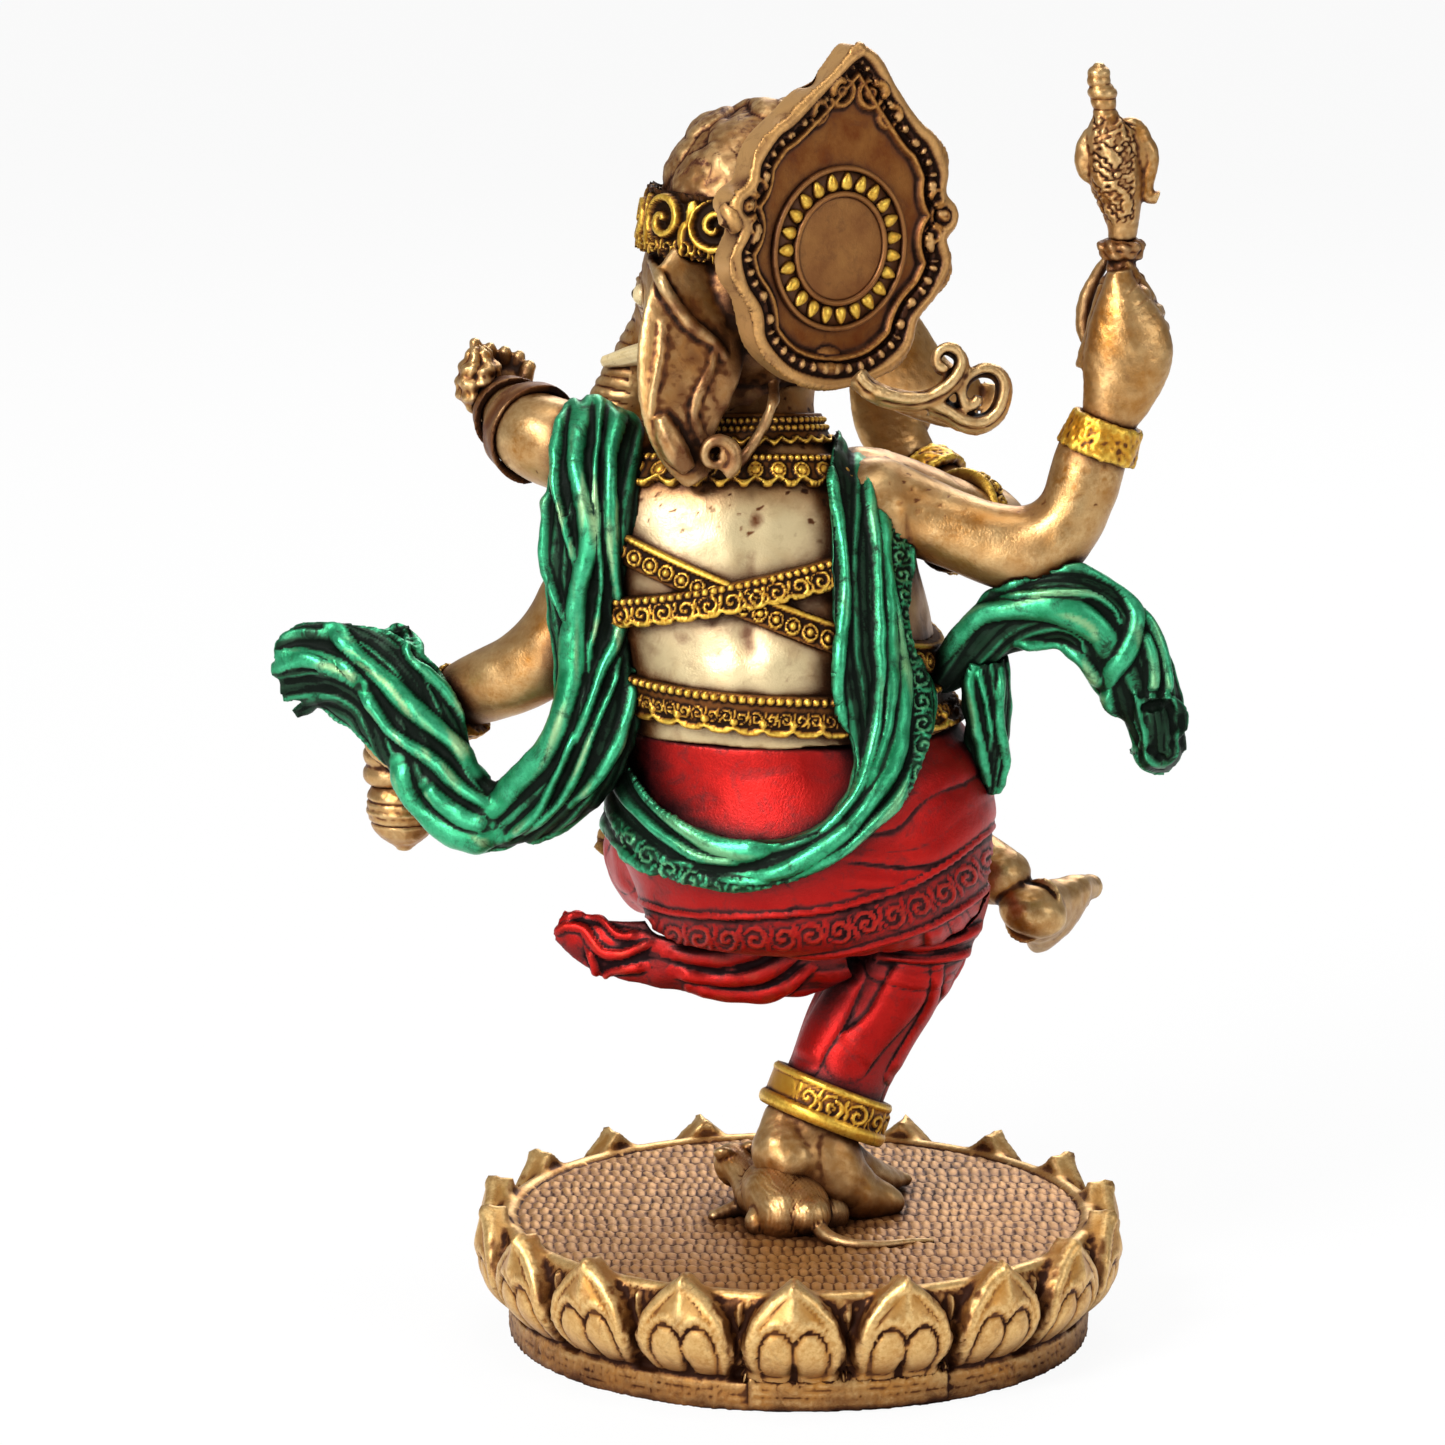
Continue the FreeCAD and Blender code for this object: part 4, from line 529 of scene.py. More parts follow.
def ridges(places, lines):
    """Height of ridges laid along drawn lines, 0 to 1; each line has its half width at each end in mm."""
    total = np.zeros(len(places))
    for points, first, last in lines:
        line = flow(points, 6)
        run, side = along(line, places)
        whole = np.linalg.norm(line[1:] - line[:-1], axis=1).sum()
        share = run / whole
        wide = (first + (last - first) * share) * (1 + 0.15 * np.sin(run / 4.1 + first * 9))
        ends = 0.35 + 0.65 * ease(share, 0.0, 0.12) * ease(-share, -1.0, -0.88)
        total = np.maximum(total, dome(side, wide) * ends)
    return total


def scrollwork(run, side, cell, turns=1.0):
    """Height of a running border of curls, one to a cell, turned up and down by turns, 0 to 1."""
    index = np.floor(run / cell)
    x = run - (index + 0.5) * cell
    y = side * np.where(index % 2 > 0, 1, -1)
    reach, angle = np.hypot(x, y), np.arctan2(y, x)
    curl = np.cos(2 * np.pi * (reach / (cell * 0.34)) * turns - angle)
    curl = ease(curl, -0.15, 0.75) * ease(-reach, -0.50 * cell, -0.40 * cell)
    leaf_x = run - np.round(run / cell) * cell
    leaf = dome(np.hypot(leaf_x / 0.16 / cell, (y + 0.22 * cell) / (0.30 * cell)), 1.0)
    return np.maximum(curl, 0.8 * leaf)


red_paint = aged_paint("metallic_red_paint_on_cast_resin", "#9C0604", "#CE2016", "#160204", metal=0.78,
                       rough=0.36, gilt="#7C4A22", wear=0.5, grit=0.35, corner_wash_and_shade=1.1, grime=0.35,
                       glaze="#520A0A")

leg = cast("standing_leg_casting", "standing_leg", grain=0.6, soften=4)
spots, facing = points_of(leg.data)
line = flow([(36.7, 90.4), (28.9, 78.2), (20, 66), (12.2, 54.9), (5.6, 44.9)])
run, side = along(line, seen(spots))
leg_middle = np.interp(spots[:, 2], [47, 64, 77, 90, 104], [4.8, 11.2, 18.6, 25.5, 27.5])
turned = np.arctan2(spots[:, 0] - leg_middle, -(spots[:, 1] - 5.0))
long_folds = folds(run, turned * 12.5 + 3, 7.5, 0.25, 2) * ease(np.abs(turned - 0.1), 0.35, 0.9)
cross_line = flow([(17.8, 82.7), (28.9, 80.4), (41.1, 84.9)])
cross_run, cross_side = along(cross_line, seen(spots))
cross_folds = folds(cross_run, cross_side + 1.5, 4.6, 0.35, 5) * ease(-np.abs(cross_side), -9, -5)
laid = ridges(seen(spots), [
    ([(26.2, 83.3), (23.3, 76), (17.8, 68.2), (11.1, 62)], 4.2, 5.6),
    ([(30.7, 82), (29.8, 73.8), (26.2, 64.9), (21.3, 56.7)], 1.7, 1.9),
    ([(34.4, 78.2), (33.3, 71.6), (29.3, 62.7), (24.4, 54.4)], 1.5, 1.5),
    ([(18.7, 87.3), (26.7, 86.9), (35.1, 88.4), (41.8, 91.3)], 1.3, 1.0),
    ([(17.3, 84.4), (27.8, 83.6), (40, 85.1)], 1.0, 0.9),
    ([(18.9, 91.1), (27.8, 91.6), (41.1, 96)], 1.3, 1.1),
    ([(11.1, 80.4), (7.8, 73.8), (3.3, 66), (1.1, 60.4)], 4.0, 3.6)])
towards = ease(-facing[:, 1], -0.1, 0.4)
height = 1.2 * (laid - 0.5) * towards + 0.5 * (cross_folds - 0.4) * ease(spots[:, 2], 70, 84)
height += 1.5 * (long_folds - 0.7) * ease(-spots[:, 2], -92, -82) * (1 - towards)
tool(leg, height + 0.3 * mottle(spots, 14, 3), broad=0.9, low=0.15 * towards * ease(-laid, -0.3, -0.05))
dress(leg, red_paint, "red_cloth_paint", "standing_leg")

leg = cast("raised_leg_casting", "raised_leg", grain=0.75, soften=4)
spots, facing = points_of(leg.data)
run = spots[:, 0] + 0.35 * spots[:, 1]
girth = spots[:, 2] + 0.25 * spots[:, 1]
tool(leg, 1.3 * (folds(girth, run, 8.0, 0.5, 3) - 0.7) + 0.3 * mottle(spots, 12, 6), broad=0.9)
dress(leg, red_paint, "red_cloth_paint", "raised_leg")

hips = cast("wrapped_cloth_casting", "dhoti", grain=0.68, soften=4)
spots, facing = points_of(hips.data)
places = seen(spots)
hem_line = flow([(-53.3, 101.6), (-42.2, 93.8), (-30, 89.6), (-13.3, 88.7), (4.4, 90), (15.6, 92.7),
                 (26.7, 96.4), (36.7, 102), (46.7, 109.3)])
run, side = along(hem_line, places)
in_border = ease(-np.abs(side), -5.0, -4.3)
border = scrollwork(run, side, 6.2) * in_border * 0.42
edges = dome(np.abs(side) - 5.2, 0.7) * 0.6
gathers = folds(run, side * 0.9 + run * 0.22, 9.0, 0.4, 1) * ease(run, 62, 84) * ease(side, 2, 8)
gathers = gathers * ease(-side, -34, -12)
lower = folds(side, run, 6.5, 0.4, 4) * ease(-side, 4.5, 7.5)
creases = ease(mottle(spots * [1.0, 1.0, 1.6], 15, 7), 0.1, 0.9) * 0.12
height = border + edges - 0.25 * in_border + 1.2 * (gathers - 0.5 * ease(run, 62, 84)) * ease(side, 2, 8)
height += 1.1 * (lower - 0.6) * ease(-side, 4.5, 7.5) - creases * (side > 4)
tool(hips, height, low=0.16 * in_border * (1 - np.clip(border * 2.5, 0, 1)),
     gilt=0.15 * ease(border, 0.28, 0.42))
dress(hips, red_paint, "red_cloth_paint", "dhoti")

tail = cast("flying_cloth_casting", "dhoti_tail", grain=0.6, soften=4)
spots, facing = points_of(tail.data)
line = flow([(13.3, 83.8), (-6.7, 80.4), (-24.4, 82.7), (-37.8, 86), (-47.8, 88.7), (-56.7, 91.6)])
run, side = along(line, seen(spots))
laid = ridges(seen(spots), [
    ([(-56.2, 88.7), (-52.2, 90.9), (-48.4, 90.4), (-46.2, 87.3), (-43.6, 84.9), (-39.6, 84.9),
      (-35.6, 86.4), (-32, 88.2)], 1.2, 1.3),
    ([(-47.6, 86.4), (-46.2, 82.7), (-44.7, 78.9), (-41.8, 80.7), (-34.4, 82)], 1.0, 1.2),
    ([(-53.3, 92.2), (-48.9, 94), (-44.4, 92.7), (-40.4, 89.1), (-35.6, 89.1)], 1.0, 1.0),
    ([(-30.2, 85.6), (-22.2, 84.2), (-13.3, 84.9), (-3.3, 88.2)], 1.9, 2.2),
    ([(-28.4, 81.1), (-17.8, 78.9), (-7.8, 80.7), (0, 86.4)], 1.7, 2.0),
    ([(-24.4, 77.1), (-13.3, 74.9), (-5.6, 75.8), (2.7, 82)], 1.8, 1.6)])
laid = np.maximum(laid, 0.35 * folds(run, side, 6.5, 0.4, 6))
tool(tail, 1.5 * (laid - 0.5) + 0.3 * mottle(spots, 9, 2), broad=0.8, low=0.35 * ease(-laid, -0.3, -0.05),
     gilt=0.2 * ease(laid, 0.8, 1.0) * ease(mottle(spots, 5, 8), 0.2, 0.7))
dress(tail, red_paint, "red_cloth_paint", "dhoti_tail")

# The pleated end of the cloth hangs in front of the raised thigh, brushed with brown gold.
pleat_gold = aged_paint("brown_gold_brushed_over_red_pleats", "#8C5A28", "#D0A25A", "#2A0F08", metal=0.6,
                        rough=0.40, wear=0.8)
pleats = cast("front_sash_casting", "front_sash", grain=0.5, soften=3)
spots, facing = points_of(pleats.data)
slant = spots[:, 0] * 0.8 + spots[:, 1] * 0.6 + spots[:, 2] * 0.25
tool(pleats, 1.1 * (folds(spots[:, 2], slant, 2.6, 0.2, 2) - 0.6))
dress(pleats, pleat_gold, "red_cloth_paint", "front_sash")

# ---------------------------------------------------------------- torso and arms
# Torso and four arms are cast as one bare body. The back is painted a much paler gold than the arms;
# painted shade darkens the skin along every strap and scarf edge, brown wash is left in every crease, and
# casting pits show in the flat back.

skin_paint = aged_paint("antique_gold_paint_on_bare_body", "#9A6422", "#ECCF98", "#1E0E05", metal=0.84,
                        rough=0.33, gilt="#C9B78C", wear=0.5, corner_wash_and_shade=1.5, grime=0.18)
shoulders = []
for place, thick in (((16.2, -3.0, 187.3), 12.6), ((13.5, 7.5, 189.2), 11.6), ((-37.2, 4.0, 194.5), 12.0)):
    bm = bmesh.new()
    at_joint = Matrix.Translation(Vector(place) / 1000.0)
    bmesh.ops.create_uvsphere(bm, u_segments=32, v_segments=20, radius=thick / 1000.0, matrix=at_joint)
    shoulders.append(bpy.data.meshes.new("shoulder"))
    bm.to_mesh(shoulders[-1])
    bm.free()
arms = ("rear_right_arm", "front_right_arm", "rear_left_arm", "front_left_arm")
body = cast("bare_body_casting", "torso", *arms, grain=0.8, soften=8, extras=shoulders)
spots, facing = points_of(body.data)
places = seen(spots)
back = ease(-facing[:, 1], 0.15, 0.75) * ease(-np.abs(spots[:, 0] + 15), -31, -24)
back = back * ease(spots[:, 2], 138, 142) * ease(-spots[:, 2], -198, -188)
spine = -0.45 * np.exp(-((spots[:, 0] + 11 - 0.03 * (spots[:, 2] - 170)) / 3.2) ** 2) * back
pits = -0.10 * ease(mottle(spots, 3.4, 11), 0.72, 0.95) * ease(spots[:, 2], 180, 192)
muscle = 0.5 * mottle(spots, 30, 5) + 0.10 * mottle(spots, 8, 6)
patchy = ease(mottle(spots, 11, 12) + 0.6 * mottle(spots, 4, 13), -1.3, 0.2)
tool(body, spine + pits + muscle, fine=0.08, gilt=back * (0.74 + 0.20 * patchy))
dress(body, skin_paint, "bright_gold_resin", "torso", *arms)

# ---------------------------------------------------------------- ornaments on the body
# Belts, straps, necklaces, bangles and cuffs: cast bands of beads, ring links and scalloped scrolls,
# painted a strong yellow gold over a brown-black ground.

ornament_gold = aged_paint("yellow_gold_paint_on_ornaments", "#BE7C0C", "#F2CB55", "#1E0E03", metal=0.82,
                           rough=0.33, wear=0.95, corner_wash_and_shade=1.1, glaze="#7A4406")


def round_band(spots):
    """For points of a band: how far round it each is, and how far above its middle, both in mm."""
    middle = (spots.max(0) + spots.min(0)) / 2
    _, _, axes = np.linalg.svd(spots - spots.mean(0), full_matrices=False)
    up = axes[2] * np.sign(axes[2][2] if abs(axes[2][2]) > 0.3 else axes[2][0])
    level = np.cross(up, [0.0, 1.0, 0.0])
    level /= np.linalg.norm(level)
    deep = np.cross(up, level)
    offset = spots - middle
    a, b = offset @ level, offset @ deep
    girth = np.median(np.hypot(a, b))
    return np.arctan2(a, -b) * girth, offset @ up - np.median(offset @ up), girth


def beads_in_row(run, side, pitch, radius):
    """Height of a row of round beads, 0 to 1."""
    return dome(np.hypot((run / pitch) % 1.0 * pitch - pitch / 2, side), radius)


def ring_links(run, side, pitch, outer=0.44):
    """Height of a row of rings with a bead in each, 0 to 1."""
    reach = np.hypot((run / pitch) % 1.0 * pitch - pitch / 2, side)
    return np.maximum(dome(reach - outer * pitch + 0.25, 0.33) * 0.8, dome(reach, 0.24 * pitch))


def band_piece(node_name, pattern, grain=0.42, sink=0.0, paint=None):
    """A worn band with a pattern of heights over its run and side; ground left low keeps the wash."""
    piece = cast(node_name + "_casting", node_name, grain=grain, soften=1)
    spots, facing = points_of(piece.data)
    run, side, girth = round_band(spots)
    height, cut = pattern(run, side, girth, spots)
    tool(piece, height - cut * sink, fine=0.09, broad=0.7,
         low=np.clip(0.42 - 1.2 * height, 0, 0.42) * (1 - 0.3 * np.clip(cut, 0, 1)))
    return dress(piece, paint or ornament_gold, "ornament_gold", node_name)


def whole_number(girth, pitch):
    """The pitch nearest to the one wanted that goes round a band a whole number of times."""
    return 2 * np.pi * girth / round(2 * np.pi * girth / pitch)


def belt_pattern(run, side, girth, spots):
    small, large = whole_number(girth, 2.0), whole_number(girth, 6.4)
    height = 0.95 * beads_in_row(run, side - 3.2, small, 0.85)
    height += 0.7 * scrollwork(run, side + 0.9, large / 2) * ease(-np.abs(side + 0.9), -2.0, -1.6)
    scallop = -3.4 - 0.9 * np.abs(np.sin(np.pi * run / large)) + 0.2
    edge = np.abs(side - scallop)
    height = np.maximum(height, dome(edge, 0.6) * 0.9)
    height = np.maximum(height, 1.1 * beads_in_row(run + large / 2, side + 2.0, large, 0.95))
    return height, ease(scallop - side, 0.5, 1.0)


def strap_of_links(run, side, girth, spots):
    pitch = whole_number(girth, 4.1)
    height = np.maximum(1.2 * ring_links(run, side + 0.5, pitch), dome(side - 2.4, 0.55))
    return height, np.zeros(len(run))


def strap_of_beads(run, side, girth, spots):
    small, large = whole_number(girth, 1.9), whole_number(girth, 5.0)
    height = 0.8 * beads_in_row(run, side - 2.2, small, 0.75)
    curls = 0.75 * scrollwork(run, side + 0.7, large) * ease(-np.abs(side + 0.7), -2.0, -1.6)
    height = np.maximum(height, curls)
    scallop = -2.2 - 0.6 * np.abs(np.sin(np.pi * run / large))
    return np.maximum(height, dome(np.abs(side - scallop), 0.5) * 0.7), ease(scallop - side, 0.3, 0.7)


def necklace_pattern(run, side, girth, spots):
    small, large = whole_number(girth, 1.7), whole_number(girth, 5.2)
    height = 0.8 * beads_in_row(run, side - 2.4, small, 0.7)
    link = ring_links(run, side + 0.3, large, 0.33)
    scallop = -1.6 - 1.5 * np.abs(np.cos(np.pi * run / large))
    height = np.maximum(height, link)
    return np.maximum(height, dome(np.abs(side - scallop), 0.55) * 0.9), ease(scallop - side, 0.4, 0.8)


def collar_pattern(run, side, girth, spots):
    small, large = whole_number(girth, 1.6), whole_number(girth, 3.4)
    height = np.maximum(0.8 * beads_in_row(run, side - 2.3, small, 0.65),
                        0.8 * beads_in_row(run + 0.8, side - 0.6, small, 0.65))
    scallop = -1.5 - 1.1 * np.abs(np.cos(np.pi * run / large))
    return np.maximum(height, dome(np.abs(side - scallop), 0.5) * 0.8), ease(scallop - side, 0.4, 0.8)


def crust(run, side, girth, spots):
    height = 0.62 + 0.3 * mottle(spots, 3.4, 3) + 0.2 * mottle(spots, 1.6, 5)
    return height * 0.6, np.zeros(len(run))


def smooth_ring(run, side, girth, spots):
    return 0.12 * mottle(spots, 5, 3), np.zeros(len(run))


def cuff_pattern(run, side, girth, spots):
    pitch = whole_number(girth, 5.6)
    curls = 0.5 * scrollwork(run, side, pitch) * ease(-np.abs(side), -3.0, -2.6) * ease(spots[:, 0], -3, 5)
    rims = np.maximum(dome(side - 3.6, 0.7) * 0.5, dome(side + 3.3, 1.5) * 1.2)
    return np.maximum(0.25 + curls, rims), np.zeros(len(run))


band_piece("waist_belt", belt_pattern, sink=2.6)
band_piece("chest_strap", strap_of_links, grain=0.4)
band_piece("cross_strap", strap_of_beads, grain=0.4, sink=1.8)
band_piece("necklace", necklace_pattern, grain=0.38, sink=2.0)
band_piece("collar", collar_pattern, grain=0.38, sink=2.0)
for node_name in ("rear_right_bangle", "front_right_bangle", "front_left_bangle"):
    band_piece(node_name, crust, grain=0.42)
for node_name in ("rear_left_bangle", "rear_left_armlet"):
    band_piece(node_name, smooth_ring, grain=0.42, paint=skin_paint)
for node_name in ("front_right_armlet", "raised_anklet"):
    band_piece(node_name, strap_of_links, grain=0.42)
band_piece("standing_anklet", cuff_pattern, grain=0.42)

# ---------------------------------------------------------------- head, trunk, ears, tusks and eyes
# An elephant's head in antique gold, turned to its left. The ears fold back in leaf shapes with rolled
# rims that end in scrolls; the trunk is ringed with creases. All one casting, with the tusks set in.

head_place = (Matrix.Translation((-11.5, 7.0, 234.0)) @ Matrix.Rotation(math.radians(36), 4, "Z")
              @ Matrix.Rotation(math.radians(7), 4, "Y"))
from_head = np.array(head_place.inverted())


def in_head(spots):
    """Points in the head's own frame: x to the idol's right, y the way the face looks, z up."""
    return spots @ from_head[:3, :3].T + from_head[:3, 3]


def all_skins(names):
    """A tree for finding where a straight line first meets any of some CAD nodes."""
    points, faces = [], []
    for name in names:
        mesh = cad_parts[name].data
        first = len(points)
        points += [v.co * 1000.0 for v in mesh.vertices]
        faces += [[first + i for i in p.vertices] for p in mesh.polygons]
    return BVHTree.FromPolygons(points, faces)


sight = Vector((0, sight_level, -sight_rise))
stand_off = 300.0


def touch(tree, u, v, otherwise=0.0):
    """Where a line of sight at u, v on the seen sheet meets a skin, or the point at depth otherwise."""
    start = Vector((u, -stand_off, (v + sight_rise * stand_off) / sight_level))
    hit = tree.ray_cast(start, sight)[0]
    if hit is None:
        return Vector((u, otherwise, (v - sight_rise * otherwise) / sight_level))
    return hit


def cord(name, points, thick, steps=6, sides=10):
    """A round cord in mm along points in space; thick is one radius or one for each point."""
    points = flow(points, steps)
    curve = bpy.data.curves.new(name, "CURVE")
    curve.dimensions = "3D"
    curve.bevel_depth = 0.001
    curve.bevel_resolution = max(1, sides // 4)
    curve.use_fill_caps = True
    spline = curve.splines.new("POLY")
    spline.points.add(len(points) - 1)
    spline.points.foreach_set("co", np.hstack([points / 1000.0, np.ones((len(points), 1))]).ravel())
    radii = np.interp(np.linspace(0, 1, len(points)), np.linspace(0, 1, len(np.atleast_1d(thick))),
                      np.atleast_1d(thick))
    spline.points.foreach_set("radius", radii)
    holder = bpy.data.objects.new(name, curve)
    mesh = bpy.data.meshes.new_from_object(holder)
    bpy.data.objects.remove(holder)
    return mesh


def laid_on(tree, sheet_points, lift=0.0, otherwise=0.0):
    """Points of a line on the seen sheet laid on a skin, lifted towards the viewer by lift mm."""
    return [tuple(touch(tree, p[0], p[1], p[2] if len(p) > 2 else otherwise) - sight * lift)
            for p in sheet_points]


def curl(middle, start, end, turns, angle, depth):
    """Points of a scroll on the seen sheet that winds in from radius start to end about a middle."""
    steps = 22
    return [(middle[0] + (start + (end - start) * i / steps) * math.cos(angle + turns * 6.2832 * i / steps),
             depth,
             middle[1] + (start + (end - start) * i / steps) * math.sin(angle + turns * 6.2832 * i / steps))
            for i in range(steps + 1)]


def up_from_sheet(points):
    """Sheet points with a depth, as u, depth, v, put in space."""
    return [(u, y, (v - sight_rise * y) / sight_level) for u, y, v in points]


ear_skin = all_skins(["left_ear", "head", "trunk", "crown"])
rims = [cord(name, laid_on(ear_skin, sheet, lift, depth), wide) for name, sheet, lift, depth, wide in (
    ("upper_fold", [(-33.3, 238.9), (-31.1, 233.6), (-28, 227.8), (-23.6, 222.4), (-18.7, 218.9),
                    (-16.4, 215.8)], 0.2, 0.0, [0.8, 1.4, 1.6, 1.6, 1.3, 0.8]),
    ("ear_edge", [(-6.4, 215.3), (-5.8, 210.9), (-6.4, 205.6), (-9.1, 199.3), (-12.9, 194), (-17.3, 190)],
     0.3, -16, [0.8, 1.3, 1.3, 1.5]),
    ("crease_edge", [(-30.2, 223.8), (-30.7, 216), (-32.2, 208.2), (-32.9, 202.7)], 0.0, 0.0,
     [0.6, 1.0, 0.6]),
    ("lobe_edge", [(-18.7, 218.9), (-19.6, 213.8), (-22.2, 208.2), (-23.3, 202.7), (-21.1, 197.1)],
     0.0, -16, [0.6, 1.0, 0.9]))]
scroll_depth = -24.5
rims.append(cord("near_scroll", up_from_sheet(curl((-18.4, 194.4), 4.6, 0.9, 1.35, -1.2, scroll_depth)),
                 [1.6, 1.4, 1.1, 1.0]))
roll_line = [(-30.7, 202.9), (-29.3, 199.3), (-27.1, 194.9), (-24.4, 191.3)]
rims.append(cord("far_roll", up_from_sheet([(u, scroll_depth, v) for u, v in roll_line]),
                 [1.4, 2.8, 3.1, 1.8]))
# The far ear is a broad strip on edge: a bright rolled rim, its depth in shadow behind, a scroll at each end.
strip_layers = (("rim", 0.0, (1.35, 1.3, 1.2, 1.15, 1.1, 1.3)),
                ("depth", 3.0, (2.4, 2.3, 2.1, 1.6, 1.1, 0.9)),
                ("root", 6.0, (2.2, 2.1, 1.8, 1.3, 0.9, 0.8)))
for label, sheet, front in (
        ("upper", [(11.8, 211.8), (14.7, 208.9), (18.7, 207.1), (23.3, 206.4), (27.3, 207.1), (31.1, 209.1),
                   (33.6, 212.2), (34.4, 215.1), (33.3, 216.9), (31.1, 217.6), (29.3, 216.4), (28.9, 214.4),
                   (30.2, 212.9), (31.1, 213.8)], -31.0),
        ("lower", [(28, 205.6), (31.6, 204.2), (34.9, 202.2), (38.4, 201.6), (41.6, 203.1), (43.3, 206),
                   (43.8, 209.8), (42.4, 212.4), (39.6, 213.3), (36.9, 212.2), (35.1, 210), (34.7, 206.9),
                   (36, 205.1), (37.8, 205.8), (38.2, 207.3)], -28.0)):
    for part, back, wide in strip_layers:
        strip = up_from_sheet([(p[0], front + back + 0.1 * (p[0] - 15), p[1] - 0.10 * back) for p in sheet])
        rims.append(cord(label + part, strip, wide))
rims.append(drawn_out("throat", [(-11.5, 6.0, 209.0), (-11.5, 9.0, 221.0)], (14.0, 15.5)))
head = cast("elephant_head_casting", "head", "trunk", "left_ear", "right_ear", grain=0.58, soften=3,
            extras=rims)
spots, facing = points_of(head.data)
local = in_head(spots)
trunk_way = np.array([[0, 26, -10], [-1.5, 32, -18], [-6, 37, -31], [-9, 39, -45], [-4, 40.5, -57],
                      [7, 42, -58], [12, 43, -50]])
gap = np.linalg.norm(local[:, None, :] - trunk_way[None], axis=2)
near = gap.argmin(1)
on_trunk = ease(-gap.min(1), -11.5, -9.5) * (local[:, 1] > 29)
ring = np.abs(np.sin(local[:, 2] * 1.15 + 0.25 * local[:, 0] + 0.5 * mottle(spots, 12, 2))) ** 0.6
height = on_trunk * (ring - 0.7) * 0.5
brow = 0.9 * dome(np.hypot((np.abs(local[:, 0]) - 8.5) / 8, (local[:, 2] - 10) / 8), 1.0)
brow = brow * (local[:, 1] > 5)
socket = np.hypot(np.abs(local[:, 0]) - 12.8, (local[:, 2] + 2.0) * 1.25)
lids = (dome(socket - 3.4, 0.9) * 0.8 + dome(socket - 5.0, 0.6) * 0.35) * (local[:, 1] > 8)
cheek = ease(-np.abs(local[:, 0]), -30, -10) * 0.25 * mottle(spots, 6, 8)
sheet = seen(spots)
on_ear = ease(-np.abs(sheet[:, 0] + 19), -15, -9) * ease(-np.abs(sheet[:, 1] - 208), -26, -18)
on_ear = on_ear * ease(-facing[:, 1], -0.2, 0.3)
tool(head, height + brow + lids + cheek + 0.05 * mottle(spots, 2.2, 4), fine=0.09,
     low=on_ear * (0.16 + 0.22 * ease(mottle(spots, 6, 31), -0.4, 0.8)))
dress(head, antique_gold, "antique_gold_resin", "head", "trunk", "left_ear", "right_ear")

ivory_gold = aged_paint("pale_ivory_gold_paint_on_tusks", "#D8C08A", "#F2E4BC", "#4A2E14", metal=0.35,
                        rough=0.32, wear=0.4)
for node_name in ("left_tusk", "right_tusk"):
    tusk = cast(node_name + "_casting", node_name, grain=0.35, soften=2)
    spots, facing = points_of(tusk.data)
    tool(tusk, 0.05 * np.sin(spots[:, 2] * 6.0 + spots[:, 1] * 3.0), fine=0.05)
    dress(tusk, ivory_gold, "tusk_paint", node_name)

# Eyes are pale balls with brown pupils, set where a line into the head meets its skin.
pupil_brown = aged_paint("brown_black_paint_on_pupils", "#2A1608", "#4A2A12", "#0C0502", metal=0.1,
                         rough=0.25, wear=0.2, grime=0.0)
head_skin = all_skins(["head", "trunk"])
for label, radius_m, proud, paint in (("eyes", 0.0026, -0.5, ivory_gold),
                                      ("pupils", 0.0015, 0.85, pupil_brown)):
    bm = bmesh.new()
    for sign in (-1, 1):
        outside_eye = head_place @ Vector((sign * 26.0, 26.0, -2.0))
        inner = head_place @ Vector((sign * 4.0, 4.0, -2.0))
        inwards = (inner - outside_eye).normalized()
        place = Matrix.Translation((head_skin.ray_cast(outside_eye, inwards)[0] - inwards * proud) / 1000.0)
        bmesh.ops.create_uvsphere(bm, u_segments=24, v_segments=16, radius=radius_m, matrix=place)
    eye_mesh = bpy.data.meshes.new(label)
    bm.to_mesh(eye_mesh)
    bm.free()
    eyes = bpy.data.objects.new(label, eye_mesh)
    bpy.context.collection.objects.link(eyes)
    tool(eyes)
    mark(eye_mesh, "hollow", np.zeros(len(eye_mesh.vertices)))
    dress(eyes, paint, "tusk_paint")

# ---------------------------------------------------------------- crown
# A tall crown of smooth uneven lumps in three rounds, gripped by a band of curled leaves raised on a dark
# ground, in yellow gold.

crown_paint = aged_paint("dull_gold_paint_on_crown", "#74440F", "#D4B27C", "#1F0E05", metal=0.75,
                         rough=0.42, wear=0.75, grime=0.9, glaze="#5A2C0E")
crown = cast("crown_casting", "crown", grain=0.55, soften=3)
spots, facing = points_of(crown.data)
local = in_head(spots)
height = np.zeros(len(spots))
# Each round of lumps: its height in the head's frame, how far out it stands, how many, and their radius.
lump_rounds = ((27.0, 20.0, 7, 9.5), (36.0, 15.0, 6, 8.0), (42.5, 7.0, 4, 6.0))
for tier, (level, reach, count, size) in enumerate(lump_rounds):
    for i in range(count):
        angle = 2 * math.pi * (i + 0.5 * (tier % 2)) / count + 0.35
        angle += 0.45 * math.sin(7.0 * i + 3 * tier)
        rise = level + 2.5 * math.sin(4.0 * i + tier)
        lump = np.array([1.0 + reach * math.cos(angle), -1.0 + reach * math.sin(angle), rise])
        far = np.linalg.norm((local - lump) / [1, 1, 0.85], axis=1) + 1.5 * mottle(spots, 9, 17)
        swell = dome(far, size * (1 + 0.2 * math.sin(5.0 * i)))
        height = np.maximum(height, swell * (1.5 + 0.6 * math.sin(3.0 * i + tier)))
creases = 0.35 * mottle(spots, 11, 4) + 0.2 * mottle(spots, 5, 18)
tool(crown, height - 0.8 + creases + 0.08 * mottle(spots, 2.5, 6), fine=0.09, broad=0.9)
dress(crown, crown_paint, "antique_gold_resin", "crown")

